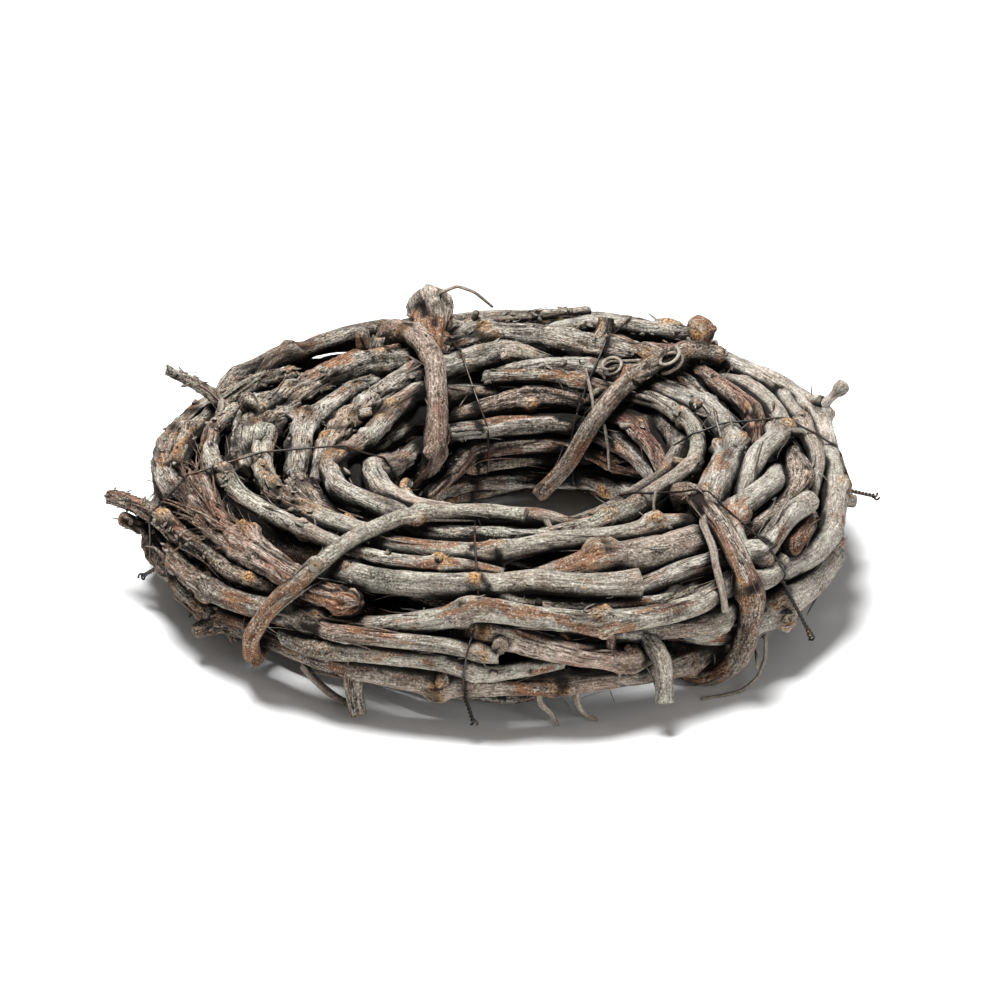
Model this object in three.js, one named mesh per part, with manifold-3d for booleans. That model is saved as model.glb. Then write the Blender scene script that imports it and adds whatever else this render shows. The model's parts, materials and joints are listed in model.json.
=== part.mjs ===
// Grapevine wreath: weathered vine canes laid round a ring, held by twigs wrapped
// across them and by loops of thin wire. Millimetres, +Z up, resting on z = 0.
import * as THREE from "three";
import { mergeVertices } from "three/addons/utils/BufferGeometryUtils.js";
import Module from "manifold-3d";

const wasm = await Module();
wasm.setup();

// Driving dimensions of the bundle
const OUTER_RADIUS = 200;      // ring centre to the outside of the bundle
const HOLE_RADIUS = 67;
const HOLE_SHIFT = 20;         // the hole lies to the right, so the left side is thicker
const HALF_HEIGHT = 47;
// Flatter stretches of the outside, as ring angle, half width in degrees and depth
const FLATS = [[148, 30, 9], [72, 26, 4]];
// Stretch of the hole's edge that is set back, in the same order
const HOLE_DENT = [-74, 48, 11];

// Canes: knuckles at every bud, thinner stretches between them
const INTERNODE = 80;          // length between two knuckles, on canes that show
const HIDDEN_INTERNODE = 115;  // on canes that are hidden
const KNUCKLE_SWELL = 1.24;    // radius at a knuckle against the plain radius
const KNUCKLE_HALF = 10;       // length from a knuckle to where it has died away
const KNUCKLE_BEND = 1.7;      // how far a cane steps to the side at a knuckle
const BEND_HALF = 25;          // length over which it does
const WAIST = 0.96;            // radius halfway between knuckles
const CANE_SIDES = 6;
const ROUNDER_SIDES = 10;      // for canes that touch nothing but each other
const SHOOT_SIDES = 5;
const FINE_SIDES = 4;          // for shoots under FINE_LIMIT thick
const FINE_LIMIT = 5;
const SEEN_STEP = 31;          // longest plain stretch of a cane that shows
const HIDDEN_STEP = 48;        // longest plain stretch of a cane that is hidden
const SLIM_STEP = 14;          // the same on slim shoots
const CURL_STEP = 3.4;         // and on tendrils that curl
const RING_APART = 4;          // least length between two rings of vertices
const END_DOME = 0.12;         // height of the dome on an end against its radius
const ROOT_SHARE = 0.7;        // thickest root of a shoot against its cane
const SAMPLES = 24;            // samples of a route between two of its points
const GAP = 0.3;               // clear space kept between neighbours
const WIRE_GAP = 0.6;          // and round a wire
const PROUD_PULL = 0.3;        // how firmly the bundle is drawn in
const SETTLE_ROUNDS = 440;
const SETTLED_SHARE = 0.75;    // share of the rounds after which nothing is drawn home
const PAIRS_EVERY = 12;        // rounds between two looks for neighbours
const PAIR_REACH = 8;          // clear space within which two segments are neighbours
// How firmly each kind of strand is drawn to its route
const HOLD = { cane: 0.1, binder: 0.04, fill: 0.03, core: 0.02, wire: 0.06 };

// Binding wire
const WIRE_RADIUS = 1;
const WIRE_STEPS = 30;
const WIRE_SIDES = 4;
const WIRE_DEPTH = 0.5;        // depth at which wire is drawn over the canes
const WIRE_UNDER = 17;         // depth at which wire passes over the lowest canes
const UNDER_FROM = 0.55;       // sine of the girth angle under which it begins to go deeper
const UNDER_SLOPE = 1.6;
const TAIL_LENGTH = 16;        // twisted ends of a loop
const TAIL_RADIUS = 1.8;
const SHORTEST_TAIL = 5;

// Torn end: fibres splayed round it
const FIBRES = 9;
const FIBRE_LENGTH = [14, 30];
const FIBRE_RADIUS = [2.6, 3.6];
const FIBRE_SPREAD = [0.25, 0.75];
const FIBRE_ROOT = 0.62;       // distance of a root from the middle against the cane's radius
const FIBRE_SUNK = 4;
const SHORTEST_FIBRE = 6;

// Fill of canes round the back, the underside and between the canes that show
const RING_CELL = 3;
const GIRTH_CELL = 4;
const FILL_NODES = 15;         // fill canes that are pieces of their own
const FILL_MAX = 30;           // fill canes in all, the rest grow from a neighbour
const FILL_THICK = [9.5, 16];
const FILL_SHORTEST = 30;      // degrees of ring
const FILL_LONGEST = 320;
const NARROWEST_GAP = 8.5;
const FILL_WIDTH = [12.5, 15.5];   // width of gap for each cane laid side by side
const FILL_TAPER = [0.86, 1.05];
const FILL_END = [7, -9];      // ring angle and height by which an end dives into the bundle
const FILL_BARKS = ["grey", "green", "brown", "grey", "dark", "green", "pale", "red"];
const COVER_SPACING = 6;
const COVER_REACH = 1.3;       // reach of a cane that covers a cell, against its radius
const TRAIL_EVERY = 4;         // cells of a followed gap for each point of a route
const GAP_KEPT = 0.72;         // narrowest gap that is followed, against the cane's thickness
const GAP_SHARED = 1.6;        // gap in which the cane keeps to the middle
const SIDESTEP = 0.9;          // most cells of girth that it moves for each cell of ring

// Finishes
const BARK = {
  grey: { color: 0x9d9488, roughness: 0.92 },
  green: { color: 0x8e8d7f, roughness: 0.94 },
  brown: { color: 0x83705f, roughness: 0.9 },
  red: { color: 0x92766a, roughness: 0.9 },
  pale: { color: 0xb4aa9d, roughness: 0.88 },
  dark: { color: 0x5d5349, roughness: 0.95 },
};
const WIRE_FINISH = { color: 0x33302e, roughness: 0.45, metalness: 0.85 };

// Canes that show, as [ring angle, girth angle, height over the bundle] along each.
// Ring angles run from +X through the back, girth angles from the outside over the top.
const CANES = [
  {
    name: "cane_front_low", bark: "brown", thick: [16, 13], knots: [4, 8],
    route: [[-190, -20, -6], [-175, -15], [-150, -30, 3], [-135, -38, 2], [-120, -32],
      [-110, -27], [-100, -28], [-90, -28], [-80, -35], [-70, -33], [-62, -38], [-55, -38],
      [-46, -42, -8]],
    shoots: [
      { thick: [12, 9], route: [[-174, -8, 2], [-173, 0, 14]] },
      { thick: [11, 9], route: [[-115, -30], [-113, -44, 20]] },
      { thick: [5, 4], route: [[-125, -42, 3], [-119, -50, 14], [-114, -54, 20]] },
      { thick: [5, 2.4], route: [[-84, -36, 3], [-81, -46, 11], [-80, -54, 18]] },
      { thick: [4.4, 2.2], route: [[-77, -38, 3], [-76, -47, 10], [-73, -54, 16]] },
    ],
  },
  {
    name: "cane_front_middle", bark: "green", thick: [13, 12], knots: [4],
    route: [[-158, 4, 1], [-150, 0], [-140, 4], [-130, 9], [-120, 14], [-110, 20], [-100, 25],
      [-87, 30], [-75, 23], [-70, 20], [-60, 18], [-51, 19], [-41, 18], [-34, 25]],
    shoots: [
      { thick: [9, 9], route: [[-129, 5, -1], [-119, 4], [-110, 11], [-98, 14], [-90, 17, -6]] },
    ],
  },
  {
    name: "cane_front_torn", bark: "red", thick: [19, 15], knots: [6], torn: "start",
    route: [[-165, 46, 3], [-158, 45, 3], [-149, 40, 1], [-140, 38], [-130, 38], [-120, 35],
      [-113, 32, 2]],
  },
  {
    name: "cane_front_upper", bark: "green", thick: [14.5, 14], knots: [6],
    route: [[-126, 42, -9], [-118, 42, -2], [-107, 47], [-90, 50], [-80, 48], [-70, 43],
      [-65, 42, 1]],
    shoots: [
      { thick: [10, 10], route: [[-97, 43, -2], [-90, 38], [-80, 34], [-72, 30], [-66, 30],
        [-52, 35], [-44, 38, -8]] },
      { thick: [3, 1.4], route: [[-85, 48, 2], [-84, 44, 12]] },
      { thick: [3, 1.4], route: [[-79, 46, 2], [-77, 42, 12]] },
    ],
  },
  {
    name: "cane_left_slim", bark: "green", thick: [12, 8], knots: [3],
    route: [[150, 66, -8], [160, 66, -2], [165, 65], [172, 60], [182, 57], [190, 60],
      [200, 63], [210, 62], [220, 64], [230, 62], [240, 60], [247, 58], [255, 62], [263, 66],
      [271, 67, -8]],
    shoots: [
      { thick: [8, 6.5], route: [[165, 65, 1], [166, 56, 18], [167, 50, 34]] },
    ],
  },
  {
    name: "cane_rim_slim", bark: "green", thick: [12, 11.5], knots: [0, 9], sides: ROUNDER_SIDES,
    route: [[184, 81, 1], [192, 80], [200, 78], [210, 76], [220, 77], [230, 76], [238, 76],
      [248, 72], [260, 76], [270, 79], [278, 88], [288, 90], [300, 84], [311, 83],
      [319, 84, -8]],
  },
  {
    name: "cane_broken_thick", bark: "brown", thick: [18, 17], sides: ROUNDER_SIDES,
    route: [[209, 90, 2], [220, 88, -2], [230, 89, -3], [240, 88, -3], [249, 88, -9]],
  },
  {
    name: "cane_left_stub", bark: "brown", thick: [10, 10],
    route: [[182, 5, 20], [190, 12, 4], [200, 20], [210, 28], [218, 30], [227, 31, -8]],
  },
  {
    name: "cane_front_lower", bark: "green", thick: [11, 9],
    route: [[-127, -7, -5], [-120, -5], [-110, -1], [-98, 3], [-93, 0], [-87, -2], [-79, -3, -8]],
  },
  {
    name: "cane_front_slab", bark: "red", thick: [16, 14], knots: [1],
    route: [[-97, 28, -3], [-93, 24, 1], [-89, 20], [-83, 14], [-75, 9], [-69, 3],
      [-63, -3, -7]],
    shoots: [
      { thick: [10, 8], route: [[-90, 18, 2], [-90, 13, 8]] },
    ],
  },
  {
    name: "cane_right_thick", bark: "brown", thick: [20, 20], knots: [2],
    route: [[-82, 61, -10], [-76, 61, -2], [-69, 63], [-60, 65], [-49, 61, 1]],
  },
  {
    name: "cane_right_middle", bark: "pale", thick: [11, 13], knots: [5],
    route: [[-74, 40, -10], [-66, 41, -2], [-60, 42], [-52, 43], [-46, 40], [-40, 33],
      [-33, 38], [-22, 40]],
  },
  {
    name: "cane_right_lower", bark: "green", thick: [14.5, 14], knots: [3],
    route: [[-80, 7, -8], [-74, 5], [-65, 2], [-52, 1], [-44, -1, -6], [-35, 5, -12]],
    shoots: [
      { thick: [12, 11], route: [[-66, -4, 2], [-66, -20, 14], [-66, -30, 26]] },
    ],
  },
  {
    name: "cane_right_cut", bark: "pale", thick: [19, 19], knots: [2],
    route: [[-54, -9, -9], [-45, -10], [-38, -15], [-30, -15], [-18, -10, 1]],
    shoots: [
      { thick: [4, 1.6], route: [[-46, -16, 3], [-48, -24, 16]] },
      { thick: [2.4, 1.8], route: [[-42, -22, 2], [-43, -34, 12], [-45, -44, 20],
        [-50, -52, 26], [-54, -56, 26]] },
    ],
  },
  {
    name: "cane_right_back", bark: "brown", thick: [13, 12],
    route: [[-33, 28, 1], [-24, 25, -1], [-16, 20, -8], [-6, 14, -4], [5, 10], [22, 8],
      [45, 4], [70, 0], [90, -4, -4], [100, -6, -9]],
  },
  {
    name: "cane_right_upper", bark: "brown", thick: [15, 13], knots: [2],
    route: [[-47, 41, -7], [-43, 45], [-36, 52], [-28, 55], [-20, 60], [-12, 62],
      [-2, 61, -6], [9, 60, -14]],
  },
  {
    name: "cane_right_light", bark: "pale", thick: [13, 12], knots: [5],
    route: [[-23, 77, -9], [-14, 75], [-5, 72], [8, 68], [17, 68], [26, 72], [33, 76],
      [42, 79, -7], [52, 83, -13]],
  },
  {
    name: "cane_right_branch", bark: "pale", thick: [12, 14.5], knots: [5],
    route: [[51, 76, -8], [42, 72, 1], [35, 66, 2], [28, 60, 4], [20, 50, 8], [14, 42, 6],
      [5, 37, 2], [-3, 30], [-10, 28], [-18, 22], [-26, 17], [-35, 13, -7]],
    shoots: [
      { thick: [10, 8], route: [[14, 44, 8], [13, 45, 26]] },
      { thick: [10, 11], route: [[27, 61, 2], [16, 61], [2, 53], [-5, 48], [-13, 45, -6]] },
    ],
  },
  {
    name: "cane_top_thick", bark: "dark", thick: [21, 14], knots: [2, 6],
    route: [[190, 74, -11], [180, 77], [170, 82], [162, 85], [148, 87], [135, 88], [125, 90],
      [112, 94], [97, 97], [90, 95], [80, 92], [70, 96], [58, 100], [45, 102], [35, 101, -7],
      [27, 101, -13]],
    shoots: [
      { thick: [16, 25], route: [[106, 86, 3], [105, 77, 16], [105, 72, 29]] },
    ],
  },
  {
    name: "cane_back_right", bark: "red", thick: [12, 12],
    route: [[66, 73, -9], [57, 76], [47, 85], [35, 91], [23, 91], [15, 85], [5, 81],
      [-5, 80, -8]],
  },
  {
    name: "cane_rim_swelling", bark: "grey", thick: [12, 20], knots: [6, 9],
    route: [[92, 122, -8], [83, 120], [72, 118], [60, 115], [45, 113], [30, 112], [20, 110],
      [12, 108], [3, 106], [-8, 102], [-20, 98], [-28, 94], [-37, 91, -9]],
  },
  {
    name: "cane_inner_long", bark: "green", thick: [8, 13],
    route: [[93, 138, -6], [84, 136], [70, 132], [55, 131], [40, 128], [22, 125], [12, 127],
      [-10, 129], [-25, 131], [-40, 130], [-60, 127], [-78, 124], [-92, 122, -4],
      [-102, 122, -10]],
  },
  {
    name: "cane_inner_pink", bark: "red", thick: [11, 12],
    route: [[117, 146, -8], [108, 145], [95, 143], [82, 144], [68, 144], [55, 146], [32, 149],
      [22, 153], [12, 157], [0, 160], [-15, 164, -3], [-26, 167, -9]],
  },
  {
    name: "cane_inner_back", bark: "grey", thick: [11, 11],
    route: [[126, 162, -6], [117, 163], [98, 167], [80, 168], [58, 167], [40, 169], [20, 174],
      [0, 180], [-30, 183], [-52, 184], [-62, 185, -7]],
    shoots: [
      { thick: [8, 8], route: [[88, 165, -1], [76, 159], [65, 157], [54, 157], [45, 157, -4]] },
    ],
  },
  {
    name: "cane_inner_low", bark: "brown", thick: [11, 11],
    route: [[141, 188, -7], [128, 188], [114, 184], [100, 182], [80, 182], [60, 184],
      [40, 188], [24, 192, -6]],
    shoots: [
      { thick: [10, 9], route: [[122, 194, -1], [112, 197], [98, 197], [84, 196], [65, 199],
        [47, 203, -5]] },
    ],
  },
  {
    name: "cane_left_rim", bark: "pale", thick: [17, 14.5], knots: [3], sides: ROUNDER_SIDES,
    route: [[201, 116, -11], [190, 118], [178, 118], [160, 124], [140, 122], [125, 120],
      [108, 118], [98, 116], [86, 112], [76, 108, -10]],
  },
  {
    name: "twig_back", bark: "green", thick: [9, 6],
    route: [[117, 86, -7], [103, 85, 1], [95, 80, 3], [88, 75, 4], [78, 70, 5], [71, 66, 8]],
  },
  {
    name: "twig_knob", bark: "grey", thick: [10, 10], knots: [5],
    route: [[83, 82, -9], [70, 80, -2], [62, 75, -1], [57, 69], [52, 62, 3], [47, 62, 6]],
    shoots: [
      { thick: [9, 15], route: [[48, 62, 5], [46, 61, 12]] },
    ],
  },
  {
    name: "cane_left_outer", bark: "green", thick: [13, 13],
    route: [[190, 19, -8], [181, 22], [173, 28], [165, 36], [157, 41], [148, 46, -4],
      [139, 48, -10]],
    shoots: [
      { thick: [11, 12], route: [[186, 32, -3], [181, 42], [172, 45], [163, 50], [153, 55],
        [143, 58, -6]] },
    ],
  },
  {
    name: "cane_left_light", bark: "pale", thick: [14, 14], sides: ROUNDER_SIDES,
    route: [[197, 100, -9], [188, 103, -2], [175, 105, -3], [165, 108, -3], [150, 110, -3],
      [138, 109, -3], [129, 107, -9]],
  },
];

// Twigs wrapped across the canes, which hold the bundle together
const BINDERS = [
  {
    name: "binder_left", bark: "green", thick: [10, 9], knots: [5],
    route: [[-139, -66, -4], [-138, -56, 3], [-136, -44, 6], [-131, -8, 4], [-129, 10, 5],
      [-125, 28, 5], [-122, 45, 5], [-120, 60, 5], [-117, 76, 6], [-112, 84, 7],
      [-105, 95, 7], [-97, 106, 7], [-90, 109, 7], [-84, 103, 9]],
  },
  {
    name: "binder_right", bark: "brown", thick: [13.5, 13], knots: [6],
    route: [[-25, 152, -6], [-30, 135, 3], [-36, 105, 5], [-40, 82, 5], [-43, 60, 5],
      [-46, 38, 5], [-48, 18, 6], [-50, 0, 5], [-51, -20, 5], [-52, -42, 4], [-54, -58, 1],
      [-56, -70, -8]],
    shoots: [
      { thick: [5, 4], route: [[-44, 74, 6], [-48, 52, 6], [-51, 38, 6], [-52, 22, 5],
        [-52, 12, 3]] },
    ],
  },
  {
    name: "binder_back", bark: "red", thick: [13, 12], knots: [4],
    route: [[112, 22, -7], [112, 36, 3], [113, 55, 5], [113, 75, 5], [114, 92, 5],
      [114, 110, 5], [117, 128, 5], [122, 148, 5], [127, 168, 4], [133, 185, 1],
      [137, 198, -8]],
  },
  {
    name: "binder_inner", bark: "brown", thick: [11, 11], knots: [3],
    route: [[40, 78, -5], [42, 89, 4], [44, 105, 5], [46, 125, 5], [48, 145, 5],
      [52, 168, 5], [57, 188, 5], [63, 202, 7], [68, 210, 11], [72, 216, 15]],
    shoots: [
      { thick: [2.6, 1.8], route: [[45, 112, 4], [52, 117, 4]], curl: { turns: 1.6, radius: 6 } },
      { thick: [2.6, 1.8], route: [[44, 106, 4], [38, 112, 5]], curl: { turns: 1.6, radius: 7 } },
      { thick: [2.4, 1.6], route: [[49, 150, 3], [44, 160, 3], [39, 176, 3], [37, 186, 5]] },
    ],
  },
  {
    name: "binder_left_back", bark: "grey", thick: [11, 10],
    route: [[166, -62, -7], [163, -46, 1], [158, -24, 3], [152, -4, 3], [147, 12, 1],
      [144, 26, -5], [142, 38, -14]],
  },
  {
    name: "binder_right_back", bark: "brown", thick: [10, 9],
    route: [[28, -64, -7], [32, -48, 2], [37, -24, 4], [42, 0, 4], [47, 22, 4], [53, 40, 3],
      [58, 50, -7]],
  },
];

// Wire loops by ring angle, with the slant across the bundle and where the ends are twisted
const WIRES = [
  { name: "wire_left", ring: -163, slant: -3, tail: -30 },
  { name: "wire_front", ring: -97, slant: 2, tail: -34 },
  { name: "wire_right_front", ring: -41, slant: 4, tail: -20 },
  { name: "wire_right", ring: 1, slant: 2, tail: -8 },
  { name: "wire_right_back", ring: 60, slant: 2, tail: 150 },
  { name: "wire_back", ring: 104, slant: 2, tail: 66 },
];

// Thick old canes in the middle of the bundle, hidden by the rest
const CORE_CANES = [
  { name: "core_cane_1", thick: 17, start: 20, girth: 80 },
  { name: "core_cane_2", thick: 16, start: 150, girth: 200 },
  { name: "core_cane_3", thick: 17, start: 265, girth: 320 },
];
const CORE_SWEEP = 325;
const CORE_TWIST = 120;        // girth angle through which one winds on its way
const CORE_DEPTH = 31;
const CORE_STOPS = 8;
const CORE_TAPER = 0.9;

const rad = THREE.MathUtils.degToRad;
const { lerp, clamp } = THREE.MathUtils;
const wrap = (index, count) => ((index % count) + count) % count;

// Seeded random numbers from 0 to 1, the same each run
function seeded(seed) {
  let state = seed;
  return () => {
    state = (state + 0x6d2b79f5) | 0;
    let mixed = Math.imul(state ^ (state >>> 15), 1 | state);
    mixed = (mixed + Math.imul(mixed ^ (mixed >>> 7), 61 | mixed)) ^ mixed;
    return ((mixed ^ (mixed >>> 14)) >>> 0) / 4294967296;
  };
}

// Bundle section at a ring angle: an ellipse between the hole and the outside
function sectionAt(ring) {
  const shift = HOLE_SHIFT * Math.cos(rad(ring));
  const round = shift + Math.sqrt(shift ** 2 - HOLE_SHIFT ** 2 + HOLE_RADIUS ** 2);
  const inner = round + dentAt(ring, HOLE_DENT);
  const outer = OUTER_RADIUS - FLATS.reduce((sum, flat) => sum + dentAt(ring, flat), 0);
  return { centre: (outer + inner) / 2, half: (outer - inner) / 2 };
}

// Depth of a smooth dent at a ring angle
function dentAt(ring, [middle, halfWidth, depth]) {
  const away = Math.abs(wrap(ring - middle + 180, 360) - 180) / halfWidth;
  return away < 1 ? (depth * (1 + Math.cos(Math.PI * away))) / 2 : 0;
}

// Point at a ring angle and girth angle, at a depth under the bundle's surface
function onBundle(ring, girth, depth) {
  const { centre, half } = sectionAt(ring);
  const reach = centre + (half - depth) * Math.cos(rad(girth));
  const height = HALF_HEIGHT + (HALF_HEIGHT - depth) * Math.sin(rad(girth));
  return new THREE.Vector3(reach * Math.cos(rad(ring)), reach * Math.sin(rad(ring)), height);
}

// Where knuckles sit along a cane: at its listed knots, and every internode from them
function knucklePlaces(length, listed, internode, random) {
  const anchors = listed.length ? listed : [internode * (0.3 + 0.5 * random())];
  const places = [...anchors];
  for (const side of [-1, 1]) {
    const from = side < 0 ? Math.min(...anchors) : Math.max(...anchors);
    let at = from + side * internode * (0.85 + 0.3 * random());
    while (at > KNUCKLE_HALF && at < length - KNUCKLE_HALF) {
      places.push(at);
      at += side * internode * (0.85 + 0.3 * random());
    }
  }
  for (let i = 1; i < anchors.length; i++) {
    const span = anchors[i] - anchors[i - 1];
    const extra = Math.round(span / internode) - 1;
    for (let k = 1; k <= extra; k++) places.push(anchors[i - 1] + (span * k) / (extra + 1));
  }
  return places.sort((a, b) => a - b);
}

// Lengths along a cane at which it has a ring of vertices
function ringPlaces(length, knuckles, longest) {
  const marks = [0, length];
  for (const at of knuckles) {
    for (const place of [at - KNUCKLE_HALF, at, at + KNUCKLE_HALF]) {
      if (place > RING_APART + 1 && place < length - RING_APART - 1) marks.push(place);
    }
  }
  marks.sort((a, b) => a - b);
  const spaced = marks.filter((mark, i) => i === 0 || mark - marks[i - 1] > RING_APART);
  const places = [];
  for (let i = 0; i < spaced.length; i++) {
    places.push(spaced[i]);
    if (i === spaced.length - 1) break;
    const span = spaced[i + 1] - spaced[i];
    const parts = Math.ceil(span / longest);
    for (let k = 1; k < parts; k++) places.push(spaced[i] + (span * k) / parts);
  }
  return places;
}

// Longest plain stretch between two rings of a strand
function longestStep(plan, slim, hidden) {
  if (plan.curl) return CURL_STEP;
  if (slim) return SLIM_STEP;
  return hidden ? HIDDEN_STEP : SEEN_STEP;
}

// A strand's centreline and radii, before it is settled among its neighbours
function makeStrand(plan, random, options = {}) {
  const curve = new THREE.CatmullRomCurve3(
    plan.route.map(([ring, girth, out = 0]) => new THREE.Vector3(ring, girth, out)));
  const samples = plan.route.length * SAMPLES;
  const start = plan.thick[0] / 2;
  const end = plan.thick[1] / 2;
  const path = [];
  for (let i = 0; i <= samples; i++) {
    const { x: ring, y: girth, z: out } = curve.getPoint(i / samples);
    path.push(onBundle(ring, girth, lerp(start, end, i / samples) - out));
  }
  if (options.root) path.unshift(options.root.clone());
  if (plan.curl) addCurl(path, plan);
  const along = [0];
  for (let i = 1; i < path.length; i++) along.push(along[i - 1] + path[i].distanceTo(path[i - 1]));
  const length = along.at(-1);
  const slim = plan.thick[1] < FINE_LIMIT;
  const listed = (plan.knots ?? []).map((k) => along[Math.round((k * samples) / (plan.route.length - 1))]);
  const internode = options.hidden ? HIDDEN_INTERNODE : INTERNODE;
  const plain = slim || length < internode * 0.75;
  const knuckles = plain ? listed : knucklePlaces(length, listed, internode, random);
  const places = ringPlaces(length, knuckles, longestStep(plan, slim, options.hidden));
  let from = 0;
  const points = places.map((place) => {
    while (from < along.length - 2 && along[from + 1] < place) from++;
    const share = (place - along[from]) / (along[from + 1] - along[from] || 1);
    return path[from].clone().lerp(path[from + 1], clamp(share, 0, 1));
  });
  if (!slim) bendAtKnuckles(points, places, knuckles);
  const radii = places.map((place) => {
    const radius = lerp(start, end, place / length);
    const nearest = Math.min(...knuckles.map((at) => Math.abs(at - place)), internode);
    if (nearest < 1) return radius * KNUCKLE_SWELL;
    return radius * (nearest < KNUCKLE_HALF + 3 || slim ? 1 : WAIST);
  });
  return {
    ...plan, radii, ...resting(points), hold: options.hold ?? HOLD.cane, across: options.across,
  };
}

// Canes grow on to alternate sides from knuckle to knuckle
function bendAtKnuckles(points, places, knuckles) {
  const straight = points.map((p) => p.clone());
  points.forEach((p, i) => {
    const away = knuckles.map((at) => Math.abs(at - places[i]));
    const nearest = away.indexOf(Math.min(...away));
    if (nearest < 0 || away[nearest] > BEND_HALF || i === 0 || i === points.length - 1) return;
    const ahead = straight[i + 1].clone().sub(straight[i - 1]).normalize();
    const aside = ahead.cross(outwardAt(straight[i])).normalize();
    const side = nearest % 2 ? 1 : -1;
    p.addScaledVector(aside, side * KNUCKLE_BEND * (1 - away[nearest] / BEND_HALF));
  });
}

// Way out of the bundle at a point
function outwardAt(point) {
  const ring = THREE.MathUtils.radToDeg(Math.atan2(point.y, point.x));
  const middle = new THREE.Vector3(point.x, point.y, 0).setLength(sectionAt(ring).centre);
  middle.z = HALF_HEIGHT;
  return point.clone().sub(middle).normalize();
}

// A strand's points where they lie at first, and the way out of the bundle at each
function resting(points) {
  return { points, outward: points.map(outwardAt), home: points.map((p) => p.clone()) };
}

// A tendril's coil: turns of a spring standing on the end of its path
function addCurl(path, plan) {
  const { turns, radius } = plan.curl;
  const tip = path.at(-1);
  const [ring, girth] = plan.route.at(-1);
  const axis = onBundle(ring, girth, -10).sub(onBundle(ring, girth, 0)).normalize();
  const ahead = tip.clone().sub(path.at(-8)).projectOnPlane(axis).normalize();
  const aside = axis.clone().cross(ahead);
  const middle = tip.clone().addScaledVector(aside, radius);
  for (let step = 1; step <= turns * 12; step++) {
    const turn = (step / 12) * Math.PI * 2;
    path.push(middle.clone()
      .addScaledVector(aside, -radius * Math.cos(turn))
      .addScaledVector(ahead, radius * Math.sin(turn))
      .addScaledVector(axis, (step / 12) * plan.thick[0] * 1.7));
  }
}

// A closed loop of wire across the bundle, over the canes that it rests on
function makeWire({ name, ring, slant, tail }) {
  const points = [];
  for (let i = 0; i < WIRE_STEPS; i++) {
    const girth = tail + (360 * i) / WIRE_STEPS;
    const under = Math.max(0, -Math.sin(rad(girth)) - UNDER_FROM) / (1 - UNDER_FROM);
    const lean = ring + slant * Math.cos(rad(girth));
    const deeper = Math.min(1, under * UNDER_SLOPE);
    points.push(onBundle(lean, girth, lerp(WIRE_DEPTH, WIRE_UNDER, deeper)));
  }
  const radii = points.map(() => WIRE_RADIUS);
  return { name, radii, ...resting(points), hold: HOLD.wire, closed: true };
}

// Nearest ring of a strand to a point
function nearestRing(strand, point) {
  let best = 0;
  strand.points.forEach((p, i) => {
    if (p.distanceTo(point) < strand.points[best].distanceTo(point)) best = i;
  });
  return best;
}

// A cane and the shoots that grow from it
function makeCane(plan, random, options = {}) {
  const cane = makeStrand(plan, random, options);
  const strands = [cane];
  for (const shoot of plan.shoots ?? []) {
    const [ring, girth, out = 0] = shoot.route[0];
    const at = nearestRing(cane, onBundle(ring, girth, shoot.thick[0] / 2 - out));
    strands.push(growFrom(cane, at, shoot, random, options));
  }
  return strands;
}

// A shoot whose root is sunk in its cane
function growFrom(parent, rootRing, plan, random, options) {
  const grown = makeStrand(plan, random, { ...options, root: parent.points[rootRing] });
  grown.radii[0] = Math.min(grown.radii[0], parent.radii[rootRing] * ROOT_SHARE);
  return { ...grown, parent, rootRing };
}

// Surface cells that the strands so far cover, by ring and girth angle
function coverCells(covered, strand) {
  for (let i = 0; i + 1 < strand.home.length; i++) {
    const steps = Math.ceil(strand.home[i].distanceTo(strand.home[i + 1]) / COVER_SPACING);
    for (let k = 0; k <= steps; k++) {
      const point = strand.home[i].clone().lerp(strand.home[i + 1], k / steps);
      const reach = COVER_REACH * lerp(strand.radii[i], strand.radii[i + 1], k / steps);
      const ring = Math.atan2(point.y, point.x);
      const { centre } = sectionAt(THREE.MathUtils.radToDeg(ring));
      const girth = Math.atan2(point.z - HALF_HEIGHT, Math.hypot(point.x, point.y) - centre);
      const ringIndex = Math.round(THREE.MathUtils.radToDeg(ring) / RING_CELL);
      const girthIndex = Math.round(THREE.MathUtils.radToDeg(girth) / GIRTH_CELL);
      for (let dr = -3; dr <= 3; dr++) {
        for (let dg = -5; dg <= 5; dg++) {
          const cell = cellPoint(ringIndex + dr, girthIndex + dg);
          if (cell.distanceTo(point) < reach) covered.add(cellKey(ringIndex + dr, girthIndex + dg));
        }
      }
    }
  }
}

const RING_CELLS = 360 / RING_CELL;
const GIRTH_CELLS = 360 / GIRTH_CELL;
const cellKey = (ring, girth) => wrap(ring, RING_CELLS) * GIRTH_CELLS + wrap(girth, GIRTH_CELLS);
const cellPoint = (ring, girth) => onBundle(ring * RING_CELL, girth * GIRTH_CELL, 0);

// Girth length in millimetres of one cell
function cellLength(ring, girth) {
  return cellPoint(ring, girth - 0.5).distanceTo(cellPoint(ring, girth + 0.5));
}

// Free stretch of the girth round a cell: its ends as cell indices and its length
function freeRun(covered, ring, girth) {
  if (covered.has(cellKey(ring, girth))) return null;
  let low = girth;
  let high = girth;
  let length = cellLength(ring, girth);
  while (high - low < GIRTH_CELLS - 1 && !covered.has(cellKey(ring, low - 1))) {
    low--;
    length += cellLength(ring, low);
  }
  while (high - low < GIRTH_CELLS - 1 && !covered.has(cellKey(ring, high + 1))) {
    high++;
    length += cellLength(ring, high);
  }
  return { low, high, length };
}

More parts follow.
